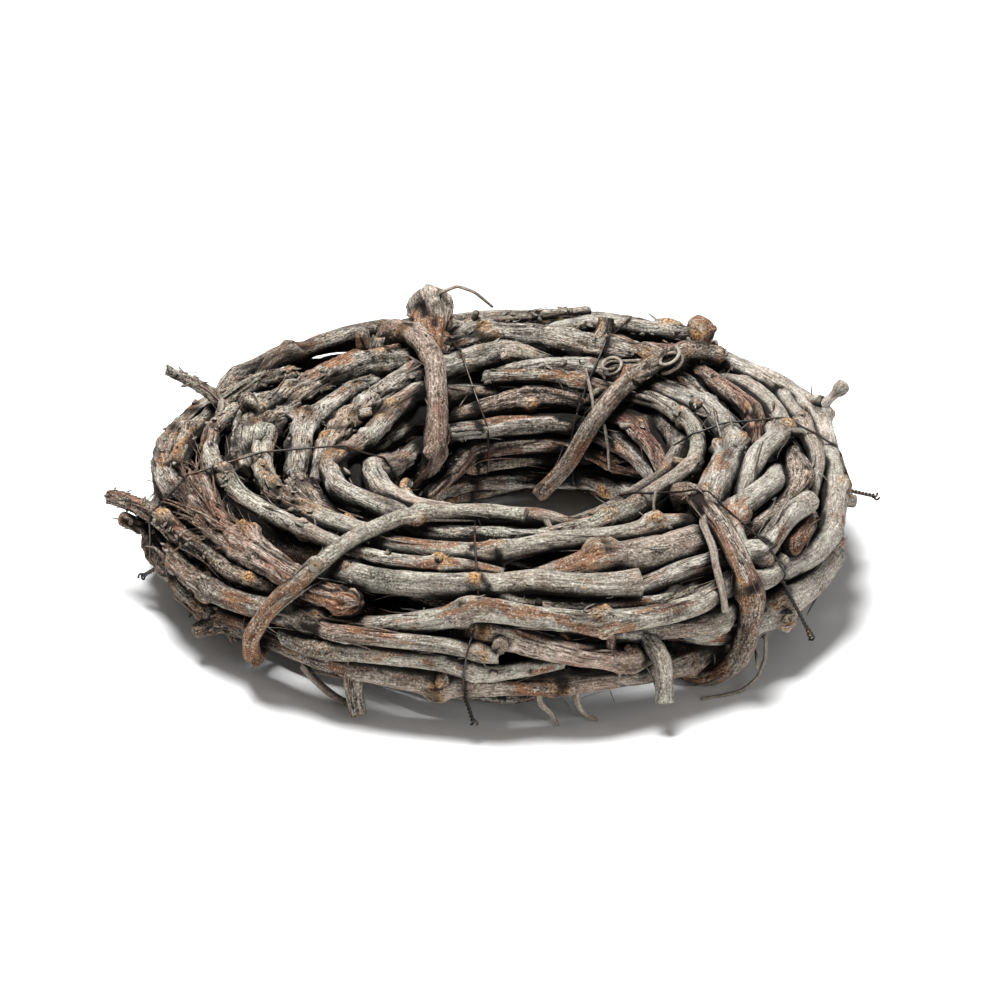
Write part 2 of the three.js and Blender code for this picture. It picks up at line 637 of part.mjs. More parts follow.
// Follows the lower edge of a free stretch round the ring, one cell at a time
function followGap(covered, ring, girth, thick, side, most) {
  const trail = [];
  let at = girth;
  for (let step = 1; step <= most; step++) {
    const here = ring + side * step;
    const run = [0, 1, -1, 2, -2].map((shift) => freeRun(covered, here, Math.round(at) + shift))
      .find((found) => found && found.length > thick * GAP_KEPT);
    if (!run) break;
    const half = (thick / 2) / cellLength(here, Math.round(at)) - 0.5;
    const target = run.length < thick * GAP_SHARED ? (run.low + run.high) / 2 : run.low + half;
    at += clamp(target - at, -SIDESTEP, SIDESTEP);
    trail.push([here * RING_CELL, at * GIRTH_CELL]);
  }
  return trail;
}

// Canes grown in the widest free stretches until none is wide enough for another
function fillPlans(strands, random) {
  const covered = new Set();
  for (const strand of strands) coverCells(covered, strand);
  const tried = new Set();
  const plans = [];
  while (plans.length < FILL_MAX) {
    let widest = null;
    for (let ring = 0; ring < RING_CELLS; ring += 2) {
      for (let girth = 0; girth < GIRTH_CELLS; girth++) {
        if (tried.has(cellKey(ring, girth))) continue;
        const run = freeRun(covered, ring, girth);
        if (run && run.length > (widest?.run.length ?? NARROWEST_GAP)) widest = { ring, run };
      }
    }
    if (!widest) break;
    const { ring, run } = widest;
    for (let g = run.low; g <= run.high; g++) tried.add(cellKey(ring, g));
    const across = Math.max(1, Math.round(run.length / lerp(...FILL_WIDTH, random())));
    const thick = clamp(run.length / across, ...FILL_THICK);
    const girth = run.low + (thick / 2) / cellLength(ring, run.low) - 0.5;
    const most = Math.round(FILL_LONGEST / RING_CELL / 2);
    const back = followGap(covered, ring, girth, thick, -1, most).reverse();
    const onward = followGap(covered, ring, girth, thick, 1, most);
    const trail = [...back, [ring * RING_CELL, girth * GIRTH_CELL], ...onward];
    if (trail.length * RING_CELL < FILL_SHORTEST) continue;
    const kept = trail.filter((_, i) => i % TRAIL_EVERY === 0 || i === trail.length - 1);
    const [firstRing, firstGirth] = kept[0];
    const [lastRing, lastGirth] = kept.at(-1);
    const [beyond, dive] = FILL_END;
    const route = [[firstRing - beyond, firstGirth, dive], ...kept, [lastRing + beyond, lastGirth, dive]];
    const plan = { thick: [thick, thick * lerp(...FILL_TAPER, random())], route };
    plans.push(plan);
    coverCells(covered, makeStrand({ ...plan, thick: [thick, thick] }, () => 0.5));
    tried.clear();
  }
  return plans;
}

// Closest points of two segments, as shares along each
function closestShares(a0, a1, b0, b1) {
  const ux = a1.x - a0.x, uy = a1.y - a0.y, uz = a1.z - a0.z;
  const vx = b1.x - b0.x, vy = b1.y - b0.y, vz = b1.z - b0.z;
  const wx = a0.x - b0.x, wy = a0.y - b0.y, wz = a0.z - b0.z;
  const a = ux * ux + uy * uy + uz * uz;
  const b = ux * vx + uy * vy + uz * vz;
  const c = vx * vx + vy * vy + vz * vz;
  const d = ux * wx + uy * wy + uz * wz;
  const e = vx * wx + vy * wy + vz * wz;
  const spread = a * c - b * b;
  let s = spread > 1e-9 ? clamp((b * e - c * d) / spread, 0, 1) : 0.5;
  const t = clamp((b * s + e) / c, 0, 1);
  s = clamp((b * t - d) / a, 0, 1);
  return [s, t];
}

// Share along a segment that lies nearest a point
function nearestShare(point, q0, q1) {
  const ux = q1.x - q0.x, uy = q1.y - q0.y, uz = q1.z - q0.z;
  const dot = (point.x - q0.x) * ux + (point.y - q0.y) * uy + (point.z - q0.z) * uz;
  return clamp(dot / (ux * ux + uy * uy + uz * uz), 0, 1);
}

// How far two strands overlap at given shares of two of their segments
function overlapAt(a, b, s, t, gap) {
  const a0 = a.strand.points[a.i], a1 = a.strand.points[a.j];
  const b0 = b.strand.points[b.i], b1 = b.strand.points[b.j];
  const x = lerp(a0.x, a1.x, s) - lerp(b0.x, b1.x, t);
  const y = lerp(a0.y, a1.y, s) - lerp(b0.y, b1.y, t);
  const z = lerp(a0.z, a1.z, s) - lerp(b0.z, b1.z, t);
  const distance = Math.hypot(x, y, z) || 1;
  const radiusA = lerp(a.strand.radii[a.i], a.strand.radii[a.j], s);
  const radiusB = lerp(b.strand.radii[b.i], b.strand.radii[b.j], t);
  return { x, y, z, s, t, distance, radiusA, radiusB, lack: radiusA + radiusB + gap - distance };
}

// Where two segments overlap most: where they come closest or, as they taper, at an end
function worstOverlap(a, b, gap) {
  const a0 = a.strand.points[a.i], a1 = a.strand.points[a.j];
  const b0 = b.strand.points[b.i], b1 = b.strand.points[b.j];
  let worst = overlapAt(a, b, ...closestShares(a0, a1, b0, b1), gap);
  if (worst.lack < -2) return worst;
  const ends = [
    [0, nearestShare(a0, b0, b1)], [1, nearestShare(a1, b0, b1)],
    [nearestShare(b0, a0, a1), 0], [nearestShare(b1, a0, a1), 1],
  ];
  for (const [s, t] of ends) {
    const found = overlapAt(a, b, s, t, gap);
    if (found.lack > worst.lack) worst = found;
  }
  return worst;
}

// Segments of every strand, and the pairs of them that lie near each other
function segmentsOf(strands) {
  const segments = [];
  strands.forEach((strand) => {
    const count = strand.closed ? strand.points.length : strand.points.length - 1;
    for (let i = 0; i < count; i++) {
      const j = (i + 1) % strand.points.length;
      segments.push({ strand, i, j, reach: Math.max(strand.radii[i], strand.radii[j]) });
    }
  });
  return segments;
}

// A shoot is not kept clear of its own cane near its root
function grownTogether(a, b) {
  const near = (shoot, cane) => shoot.strand.parent === cane.strand
    && (shoot.i < 2 || shoot.strand.points.length < 6);
  return near(a, b) || near(b, a) || (a.strand.parent && a.strand.parent === b.strand.parent
    && a.i < 1 && b.i < 1);
}

function nearPairs(segments, slack) {
  const middles = segments.map(({ strand, i, j }) => strand.points[i].clone().lerp(strand.points[j], 0.5));
  const spans = segments.map(({ strand, i, j }) => strand.points[i].distanceTo(strand.points[j]) / 2);
  const pairs = [];
  for (let m = 0; m < segments.length; m++) {
    for (let n = m + 1; n < segments.length; n++) {
      const a = segments[m];
      const b = segments[n];
      if (a.strand === b.strand) {
        const apart = Math.abs(a.i - b.i);
        if (a.strand.closed || a.strand.curl || apart < 5) continue;
      }
      const far = spans[m] + spans[n] + a.reach + b.reach + slack;
      if (middles[m].distanceToSquared(middles[n]) > far * far) continue;
      if (!grownTogether(a, b)) pairs.push([a, b]);
    }
  }
  return pairs;
}

// Pushes one overlapping pair apart, the slimmer strand moving further
function separate([a, b]) {
  const gap = a.strand.closed || b.strand.closed ? WIRE_GAP : GAP;
  const a0 = a.strand.points[a.i];
  const a1 = a.strand.points[a.j];
  const b0 = b.strand.points[b.i];
  const b1 = b.strand.points[b.j];
  const { x, y, z, s, t, distance, radiusA, radiusB, lack } = worstOverlap(a, b, gap);
  if (lack <= 0) return;
  const easeA = 1 / radiusA ** 2;
  const easeB = 1 / radiusB ** 2;
  const push = lack / distance / (easeA + easeB);
  const moveEnds = (p0, p1, share, ease) => {
    const weight = (ease * push) / ((1 - share) ** 2 + share ** 2);
    p0.x += x * weight * (1 - share);
    p0.y += y * weight * (1 - share);
    p0.z += z * weight * (1 - share);
    p1.x += x * weight * share;
    p1.y += y * weight * share;
    p1.z += z * weight * share;
  };
  moveEnds(a0, a1, s, easeA);
  moveEnds(b0, b1, t, -easeB);
}

// Draws each strand back to its route, most of all where it stands out of the bundle,
// and spreads a push along it
function easeHome(strand, smooth) {
  const { points, home, outward, hold, closed } = strand;
  const shifts = points.map((p, i) => {
    const shift = p.clone().sub(home[i]).multiplyScalar(1 - hold);
    const proud = Math.max(0, shift.dot(outward[i]));
    return shift.addScaledVector(outward[i], -proud * PROUD_PULL);
  });
  const last = points.length - 1;
  points.forEach((p, i) => {
    const before = shifts[i === 0 ? (closed ? last : 0) : i - 1];
    const after = shifts[i === last ? (closed ? 0 : last) : i + 1];
    const mean = before.clone().add(after).multiplyScalar(0.5);
    p.copy(home[i]).add(shifts[i].clone().lerp(mean, smooth));
  });
}

// Lowest place of a ring's centre that keeps its flat side on the ground
const CANE_REST = Math.cos(Math.PI / CANE_SIDES);

function holdAboveGround(strand) {
  const share = strand.parent || strand.closed || strand.across ? 1 : CANE_REST;
  strand.points.forEach((p, i) => {
    p.z = Math.max(p.z, strand.radii[i] * share);
  });
}

function followParent(strand) {
  if (strand.parent) strand.points[0].copy(strand.parent.points[strand.rootRing]);
}

// Moves the strands until each is clear of the others and of the ground
function settle(strands, rounds) {
  const segments = segmentsOf(strands);
  let pairs = [];
  for (let round = 0; round < rounds; round++) {
    const late = round > rounds * SETTLED_SHARE;
    if (round % PAIRS_EVERY === 0) pairs = nearPairs(segments, PAIR_REACH);
    for (const strand of strands) {
      if (!late) easeHome(strand, strand.closed ? 0.3 : 0.5);
      followParent(strand);
    }
    for (const pair of pairs) separate(pair);
    for (const strand of strands) holdAboveGround(strand);
  }
  for (const strand of strands) followParent(strand);
}

// Directions across a strand at each ring: sideways and upwards for canes,
// carried along without twist for the rest
function crossAxes(strand) {
  const { points, closed } = strand;
  const last = points.length - 1;
  const tangents = points.map((_, i) => {
    const before = points[i === 0 ? (closed ? last : 0) : i - 1];
    const after = points[i === last ? (closed ? 0 : last) : i + 1];
    return after.clone().sub(before).normalize();
  });
  const up = new THREE.Vector3(0, 0, 1);
  const level = !strand.parent && !strand.closed && !strand.across;
  let carried = up.clone();
  if (Math.abs(tangents[0].z) > 0.8) carried.set(tangents[0].y, -tangents[0].x, 0.1);
  return tangents.map((tangent) => {
    const raised = (level ? up : carried).clone().projectOnPlane(tangent).normalize();
    carried = raised;
    return { tangent, raised, aside: raised.clone().cross(tangent) };
  });
}

// A tube of rings along a settled strand, with a low dome on each end
function tubeGeometry(strand) {
  const { points, radii } = strand;
  const grown = strand.thick[1] < FINE_LIMIT ? FINE_SIDES : SHOOT_SIDES;
  const sides = strand.sides ?? (strand.parent ? grown : CANE_SIDES);
  const last = points.length - 1;
  const axes = crossAxes(strand);
  const geometry = new THREE.CylinderGeometry(1, 1, 1, sides, last, false, Math.PI / sides);
  const position = geometry.attributes.position;
  for (let v = 0; v < position.count; v++) {
    const x = position.getX(v);
    const z = position.getZ(v);
    const ring = Math.round((0.5 - position.getY(v)) * last);
    const { tangent, raised, aside } = axes[ring];
    const spot = points[ring].clone();
    if (Math.hypot(x, z) < 1e-6) {
      spot.addScaledVector(tangent, (ring === 0 ? -1 : 1) * radii[ring] * END_DOME);
    } else {
      spot.addScaledVector(aside, x * radii[ring]).addScaledVector(raised, z * radii[ring]);
    }
    position.setXYZ(v, spot.x, spot.y, spot.z);
  }
  return onlyShape(geometry);
}

// A closed loop of wire
function loopGeometry(strand) {
  const { points } = strand;
  const axes = crossAxes(strand);
  const geometry = new THREE.TorusGeometry(2, 1, WIRE_SIDES, points.length);
  const position = geometry.attributes.position;
  for (let v = 0; v < position.count; v++) {
    const spot = new THREE.Vector3().fromBufferAttribute(position, v);
    const turn = Math.atan2(spot.y, spot.x) / (Math.PI * 2);
    const ring = wrap(Math.round(turn * points.length), points.length);
    const inward = 2 - Math.hypot(spot.x, spot.y);
    const { raised, aside } = axes[ring];
    const placed = points[ring].clone()
      .addScaledVector(aside, inward * WIRE_RADIUS)
      .addScaledVector(raised, spot.z * WIRE_RADIUS);
    position.setXYZ(v, placed.x, placed.y, placed.z);
  }
  return onlyShape(geometry);
}

// Geometry with merged vertices and nothing but positions
function onlyShape(geometry) {
  geometry.deleteAttribute("normal");
  geometry.deleteAttribute("uv");
  return mergeVertices(geometry, 1e-3);
}

function toSolid(geometry) {
  const vertProperties = new Float32Array(geometry.attributes.position.array);
  const triVerts = new Uint32Array(geometry.index.array);
  return new wasm.Manifold(new wasm.Mesh({ numProp: 3, vertProperties, triVerts }));
}

function fromSolid(solid) {
  const mesh = solid.getMesh();
  const geometry = new THREE.BufferGeometry();
  geometry.setAttribute("position", new THREE.BufferAttribute(mesh.vertProperties, 3));
  geometry.setIndex(new THREE.BufferAttribute(mesh.triVerts, 1));
  return mergeVertices(geometry, 1e-3);
}

// Splayed fibres at a torn end, each shortened until it is clear of the neighbours
function tornFibres(cane, strands, random) {
  const first = cane.points[0];
  const away = first.clone().sub(cane.points[1]).normalize();
  const others = strands.filter((s) => s !== cane && s.parent !== cane);
  const fibres = [];
  for (let k = 0; k < FIBRES; k++) {
    const spin = (k / FIBRES) * Math.PI * 2;
    const axes = crossAxes(cane)[0];
    const outward = axes.aside.clone().multiplyScalar(Math.cos(spin))
      .addScaledVector(axes.raised, Math.sin(spin));
    const base = first.clone().addScaledVector(outward, cane.radii[0] * FIBRE_ROOT)
      .addScaledVector(away, -FIBRE_SUNK);
    const aim = away.clone().addScaledVector(outward, lerp(...FIBRE_SPREAD, random())).normalize();
    const root = lerp(...FIBRE_RADIUS, random());
    let length = lerp(...FIBRE_LENGTH, random());
    while (length > SHORTEST_FIBRE && !clearOf(base, aim, length, root, others)) length -= 2;
    if (length <= SHORTEST_FIBRE) continue;
    const spike = new THREE.ConeGeometry(root, length, 4, 1);
    spike.translate(0, length / 2, 0);
    spike.applyQuaternion(new THREE.Quaternion().setFromUnitVectors(new THREE.Vector3(0, 1, 0), aim));
    spike.translate(base.x, base.y, base.z);
    fibres.push(onlyShape(spike));
  }
  return fibres;
}

function clearOf(base, aim, length, radius, strands) {
  const tip = base.clone().addScaledVector(aim, length);
  return strands.every(({ points, radii }) => points.every((p, i) => {
    if (i === 0) return true;
    const [s, t] = closestShares(base, tip, points[i - 1], p);
    const gap = base.clone().lerp(tip, s).distanceTo(points[i - 1].clone().lerp(p, t));
    return gap > radius + lerp(radii[i - 1], radii[i], t) + GAP;
  }));
}

// Twisted ends of a wire loop, standing off the bundle
function wireTail(wire, strands, random) {
  const root = wire.points[0];
  const outward = root.clone().sub(wire.points[WIRE_STEPS / 2]).normalize();
  const aim = outward.clone().add(new THREE.Vector3(random() - 0.5, random() - 0.5, 0.1)).normalize();
  const others = strands.filter((s) => s !== wire);
  const base = root.clone().addScaledVector(aim, 3);
  let length = TAIL_LENGTH;
  while (length > SHORTEST_TAIL && !clearOf(base, aim, length - 3, TAIL_RADIUS, others)) length -= 1;
  const tail = new THREE.CylinderGeometry(TAIL_RADIUS, WIRE_RADIUS, length, SHOOT_SIDES, 1);
  tail.translate(0, length / 2, 0);
  tail.applyQuaternion(new THREE.Quaternion().setFromUnitVectors(new THREE.Vector3(0, 1, 0), aim));
  tail.translate(root.x, root.y, root.z);
  return onlyShape(tail);
}

// One piece: a cane or wire with everything that grows from it, in one solid
function pieceGeometry(strand, strands, random) {
  const main = strand.closed ? loopGeometry(strand) : tubeGeometry(strand);
  const grown = strands.filter((s) => s.parent === strand).map(tubeGeometry);
  if (strand.torn) grown.push(...tornFibres(strand, strands, random));
  if (strand.closed) grown.push(wireTail(strand, strands, random));
  if (!grown.length) return main;
  return fromSolid(grown.reduce((solid, extra) => solid.add(toSolid(extra)), toSolid(main)));
}

// Laying up: canes that show, binders, wires and core, then the fill in between
const random = seeded(20260);
const strands = [];
for (const plan of CANES) strands.push(...makeCane(plan, random));
const laid = [...strands];
for (const plan of BINDERS) {
  strands.push(...makeCane(plan, random, { hold: HOLD.binder, across: true }));
}
strands.push(...WIRES.map(makeWire));
for (const { name, thick, start, girth } of CORE_CANES) {
  const route = [];
  for (let k = 0; k <= CORE_STOPS; k++) {
    const share = k / CORE_STOPS;
    route.push([start + CORE_SWEEP * share, girth + CORE_TWIST * share, thick / 2 - CORE_DEPTH]);
  }
  const plan = { name, bark: "dark", thick: [thick, thick * CORE_TAPER], route };
  strands.push(makeStrand(plan, random, { hidden: true, hold: HOLD.core }));
}
const fills = fillPlans(laid, random).sort((a, b) => b.route.length - a.route.length);
fills.forEach((plan, i) => {
  const options = { hold: HOLD.fill, hidden: true };
  if (i < FILL_NODES) {
    const named = { ...plan, name: `cane_fill_${String(i + 1).padStart(2, "0")}` };
    strands.push(makeStrand({ ...named, bark: FILL_BARKS[i % FILL_BARKS.length] }, random, options));
    return;
  }
  const [ring, girth] = plan.route[1];
  const start = onBundle(ring, girth, plan.thick[0] / 2);
  const parents = strands.filter((s) => s.name && !s.closed && !s.across && s.points.length > 10);
  const rings = parents.map((s) => clamp(nearestRing(s, start), 4, s.points.length - 5));
  const distances = parents.map((s, k) => s.points[rings[k]].distanceTo(start));
  const nearest = distances.indexOf(Math.min(...distances));
  const parent = parents[nearest];
  const rootRing = rings[nearest];
  const shoot = { ...plan, route: plan.route.slice(1) };
  strands.push(growFrom(parent, rootRing, shoot, random, options));
});
settle(strands, SETTLE_ROUNDS);

// The wreath, its origin at the middle of its foot
const wreath = new THREE.Group();
wreath.name = "grapevine_wreath";
for (const strand of strands.filter((s) => s.name)) {
  const finish = strand.closed ? WIRE_FINISH : BARK[strand.bark];
  const mesh = new THREE.Mesh(
    pieceGeometry(strand, strands, random), new THREE.MeshStandardMaterial(finish));
  mesh.name = strand.name;
  wreath.add(mesh);
}
const box = new THREE.Box3().setFromObject(wreath);
const middle = box.getCenter(new THREE.Vector3());
wreath.position.set(-middle.x, -middle.y, -box.min.z);

export default wreath;
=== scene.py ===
"""Looks of a grapevine wreath: bark laid over every cane, binding wire, floor, light and camera."""
import json
import math
from collections import namedtuple
from dataclasses import dataclass, replace
from types import SimpleNamespace

import bmesh
import bpy
import numpy as np
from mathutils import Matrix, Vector
from mathutils.bvhtree import BVHTree


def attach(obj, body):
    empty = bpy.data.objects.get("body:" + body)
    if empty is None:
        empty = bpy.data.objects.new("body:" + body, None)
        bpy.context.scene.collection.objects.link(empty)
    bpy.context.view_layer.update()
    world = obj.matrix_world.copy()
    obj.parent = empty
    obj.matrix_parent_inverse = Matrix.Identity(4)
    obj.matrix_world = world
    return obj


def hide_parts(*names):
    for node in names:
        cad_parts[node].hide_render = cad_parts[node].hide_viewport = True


MM = 0.001

# Middle of the bundle's outer circle, at half its height
RING_MIDDLE = Vector((1.66 * MM, 0.85 * MM, 47 * MM))

# Feeling out the canes: a cap is a low dome over a ring of this many corners
MAIN_CORNERS = (6, 10)
SHOOT_CORNERS = (4, 5)
DOME = 0.12                             # height against the radius
DOME_SLACK = 0.03
RING_SLACK = 0.04                       # how uneven a ring may be, against its radius
CAD_WELD = 0.004 * MM
# A tube's mean breadth against the circle through its corners
BREADTH = {4: 0.7935, 5: 0.8681, 6: 0.9086, 10: 0.9673}
RAYS = 14
LONGEST_RAY = 1.35                      # against the usual one, so that a side shoot pulls little
SHORTEST_STEP = 1.0 * MM
LONGEST_STEP = 4.5 * MM
MOST_STEPS = 2000
KEPT_HEADING = 0.45                     # share of the old heading in the next one
JOINED = 0.75                           # a shoot this near its cane's middle, against the radius, is in it
SPACING = 3 * MM                        # between the points of a line
SMOOTHINGS = 6

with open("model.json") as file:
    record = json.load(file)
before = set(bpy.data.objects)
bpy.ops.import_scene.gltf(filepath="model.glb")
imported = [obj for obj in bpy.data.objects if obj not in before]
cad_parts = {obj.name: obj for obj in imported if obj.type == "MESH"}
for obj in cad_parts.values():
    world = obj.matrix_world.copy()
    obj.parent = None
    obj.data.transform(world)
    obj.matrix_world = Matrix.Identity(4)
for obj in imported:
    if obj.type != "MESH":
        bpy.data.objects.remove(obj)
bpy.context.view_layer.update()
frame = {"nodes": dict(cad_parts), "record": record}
NODES = frame["nodes"]
SLOT = {part["node"]: part["material_slot"] for part in frame["record"]["subparts"]}


def length_of(points):
    return float(np.linalg.norm(np.diff(points, axis=0), axis=1).sum())


@dataclass(eq=False)
class Line:
    """Middle line of a cane or shoot, evenly spaced, with its radius at each point."""

    node: str
    points: np.ndarray
    radii: np.ndarray
    corners: int
    root: "Line" = None
    reshaped: bool = False

    @property
    def length(self):
        return length_of(self.points)


Cap = namedtuple("Cap", "tip inward radius corners")


def merged(node):
    """A bmesh of a CAD node with its loose triangles joined."""
    bm = bmesh.new()
    bm.from_mesh(NODES[node].data)
    bmesh.ops.remove_doubles(bm, verts=bm.verts, dist=CAD_WELD)
    return bm


def find_caps(bm):
    """Ends of tubes: each vertex that is the top of a low dome."""
    caps = []
    for vertex in bm.verts:
        corners = len(vertex.link_edges)
        if corners not in MAIN_CORNERS + SHOOT_CORNERS:
            continue
        around = [edge.other_vert(vertex).co for edge in vertex.link_edges]
        middle = sum(around, Vector()) / corners
        reach = [(corner - middle).length for corner in around]
        radius = sum(reach) / corners
        dome = vertex.co - middle
        if max(reach) - min(reach) > RING_SLACK * radius or abs(dome.length / radius - DOME) > DOME_SLACK:
            continue
        inward = -dome.normalized()
        if all(abs((corner - middle).dot(inward)) < RING_SLACK * radius for corner in around):
            caps.append(Cap(vertex.co.copy(), inward, radius, corners))
    return caps


def cross_section(tree, place, heading):
    """Middle and mean breadth of a tube at a place, from rays cast across it."""
    aside = heading.orthogonal().normalized()
    raised = heading.cross(aside)
    reach = []
    ways = []
    for ray in range(RAYS):
        turn = 2 * math.pi * ray / RAYS
        way = aside * math.cos(turn) + raised * math.sin(turn)
        hit = tree.ray_cast(place, way)
        reach.append(hit[3] if hit[0] is not None else 0)
        ways.append(way)
    usual = sorted(reach)[RAYS // 2]
    reach = [min(length, LONGEST_RAY * usual) for length in reach]
    drift = sum((way * length for way, length in zip(ways, reach)), Vector()) / RAYS
    return place + drift * 2, sum(reach) / RAYS


def feel_out(tree, cap, stop):
    """Follows a tube from one end until it ends or `stop` says that it runs into its cane."""
    points = [cap.tip.copy()]
    radii = [cap.radius]
    heading = cap.inward
    step = min(LONGEST_STEP, max(SHORTEST_STEP, cap.radius * 0.8))
    place = cap.tip + heading * step
    for _ in range(MOST_STEPS):
        for _ in range(2):
            place, breadth = cross_section(tree, place, heading)
        radius = breadth / BREADTH[cap.corners]
        ahead = (place - points[-1]).normalized()
        heading = (heading * KEPT_HEADING + ahead * (1 - KEPT_HEADING)).normalized()
        root = stop(place)
        if root is not None:
            points.append(root)
            radii.append(radii[-1])
            break
        points.append(place.copy())
        radii.append(radius)
        wall = tree.ray_cast(place, heading)
        if wall[0] is None or wall[3] < step * 1.3:
            if wall[0] is not None:
                points.append(wall[0])
                radii.append(radius)
            break
        place = place + heading * step
    return points, radii


def smoothed(points, radii, spacing):
    """A felt-out line made even and smooth, its ends kept."""
    points = np.array([tuple(point) for point in points])
    radii = np.array(radii)
    along = np.concatenate([[0], np.cumsum(np.linalg.norm(np.diff(points, axis=0), axis=1))])
    count = max(4, int(round(along[-1] / spacing)) + 1)
    even = np.linspace(0, along[-1], count)
    line = np.stack([np.interp(even, along, points[:, axis]) for axis in range(3)], axis=1)
    breadth = np.interp(even, along, radii)
    for _ in range(SMOOTHINGS):
        line[1:-1] = line[1:-1] * 0.5 + (line[:-2] + line[2:]) * 0.25
        breadth[1:-1] = breadth[1:-1] * 0.7 + (breadth[:-2] + breadth[2:]) * 0.15
    return line, breadth


def joins(cane):
    """A test for the place where a shoot runs into its cane."""
    def stop(place):
        away = np.linalg.norm(cane.points - np.array(tuple(place)), axis=1)
        nearest = int(away.argmin())
        if away[nearest] < JOINED * cane.radii[nearest]:
            return Vector(cane.points[nearest])
        return None
    return stop


def from_end_to_end(tree, ends):
    """A cane's line, felt out from both ends, since a march can stray into a shoot."""
    marches = [feel_out(tree, cap, lambda place: None) for cap in ends]
    if len(ends) == 1:
        return marches[0]
    for (points, radii), other in zip(marches, reversed(ends)):
        if (points[-1] - other.tip).length < 2 * other.radius:
            return points, radii
    (first, first_radii), (second, second_radii) = marches
    apart = np.linalg.norm(np.array(first)[:, None] - np.array(second)[None], axis=2)
    meeting = np.unravel_index(int(apart.argmin()), apart.shape)
    points = first[:meeting[0]] + second[:meeting[1]][::-1]
    radii = first_radii[:meeting[0]] + second_radii[:meeting[1]][::-1]
    return points, radii


def read_canes(node):
    """Lines of a node's cane and of the shoots that grow from it."""
    bm = merged(node)
    caps = find_caps(bm)
    tree = BVHTree.FromBMesh(bm)
    bm.free()
    ends = [cap for cap in caps if cap.corners in MAIN_CORNERS]
    if not ends:
        return []
    points, radii = smoothed(*from_end_to_end(tree, ends[:2]), SPACING)
    cane = Line(node, points, radii, ends[0].corners)
    lines = [cane]
    for cap in caps:
        if cap.corners in SHOOT_CORNERS:
            points, radii = smoothed(*feel_out(tree, cap, joins(cane)), min(SPACING, cap.radius))
            lines.append(Line(node, points, radii, cap.corners, root=cane))
    return lines


LINES = []
for cad_node in sorted(NODES):
    if not cad_node.startswith("wire"):
        LINES.extend(read_canes(cad_node))

CANE_KINDS = ("cane", "core", "twig", "binder")


def solids(kinds):
    """A search tree of the CAD nodes whose names begin in one of the given ways."""
    bm = bmesh.new()
    for name, node in NODES.items():
        if name.startswith(kinds):
            bm.from_mesh(node.data)
    tree = BVHTree.FromBMesh(bm)
    bm.free()
    return tree


ALL_SOLIDS = solids(CANE_KINDS + ("wire",))
CANE_SOLIDS = solids(CANE_KINDS)


def free_length(start, way, most):
    """Clear length from a place in a direction, up to a limit."""
    hit = ALL_SOLIDS.ray_cast(Vector(start), Vector(way), most)
    return most if hit[0] is None else hit[3]


# Laying the bark
#
# A bark skin is a grid wrapped round a line: its columns go round, its rows go along, and a few
# rows at each end close it over the cut or broken face.

CAP_ROWS = 5
FEWEST_ROWS = 6
FEWEST_COLUMNS, MOST_COLUMNS = 8, 84
SHOWN_CELL = (0.8 * MM, 2.1 * MM)       # round and along, on canes that show
HIDDEN_CELL = (1.6 * MM, 5 * MM)
CORE_CELL = (3.5 * MM, 9 * MM)
STUB_CELL = (1.1 * MM, 1.5 * MM)
FINE_TWIG = 2.6 * MM                    # shoots slimmer than this are smooth twigs or tendrils


def seeded(name):
    """Random numbers of a piece's own, the same each run."""
    return np.random.default_rng(sum((place + 1) * ord(letter) for place, letter in enumerate(name)))


def ease(low, high, value):
    """A smooth step, from 0 at the low value to 1 at the high one."""
    share = np.clip((value - low) / (high - low), 0, 1)
    return share * share * (3 - 2 * share)


def between_cells(table, row, column, soften):
    """Values of a table that closes on itself sideways, read between its cells."""
    low_row = np.floor(row).astype(int)
    low_column = np.floor(column).astype(int)
    up = soften(row - low_row)
    across = soften(column - low_column)
    left = low_column % table.shape[1]
    right = (low_column + 1) % table.shape[1]
    low = table[low_row, left] * (1 - across) + table[low_row, right] * across
    high = table[low_row + 1, left] * (1 - across) + table[low_row + 1, right] * across
    return low * (1 - up) + high * up


def pattern(rng, along, turn, cell, cells_round):
    """Smooth random values from -1 to 1 on a cane, in cells so long and so many round it."""
    cells_round = max(2, int(round(cells_round)))
    row = along / cell + rng.uniform()
    row = row - math.floor(row.min())
    table = rng.uniform(-1, 1, (math.floor(row.max()) + 2, cells_round))
    return between_cells(table, row, turn / (2 * math.pi) * cells_round, lambda share: ease(0, 1, share))


def frames_along(points):
    """Tangent, sideways and upward directions along a line, carried without twist."""
    tangents = np.gradient(points, axis=0)
    tangents /= np.linalg.norm(tangents, axis=1)[:, None]
    seed = np.array([0, 0, 1.0]) if abs(tangents[0][2]) < 0.9 else np.array([1.0, 0, 0])
    asides = np.empty_like(tangents)
    for index, tangent in enumerate(tangents):
        seed = seed - tangent * seed.dot(tangent)
        seed /= np.linalg.norm(seed)
        asides[index] = seed
    return tangents, asides, np.cross(tangents, asides)


class Course:
    """A line and its directions: ahead, sideways and up at each of its points."""

    def __init__(self, line):
        self.points = line.points
        self.radii = line.radii
        self.ahead, self.asides, self.raised = frames_along(line.points)
        self.last = len(line.points) - 1
        self.spacing = line.length / self.last

    def outward(self, at, side):
        """Direction away from the line at one of its points, at an angle round it."""
        return self.asides[at] * math.cos(side) + self.raised[at] * math.sin(side)

    def over(self, at, way, share):
        """Place that lies in a direction from a point of the line, at a share of the radius."""
        return self.points[at] + way * self.radii[at] * share


KNUCKLE_REACH = 24 * MM                 # the stretch on each side that a knuckle stands out from
KNUCKLE_FROM, KNUCKLE_FULL = 1.03, 1.16  # radius against the usual one


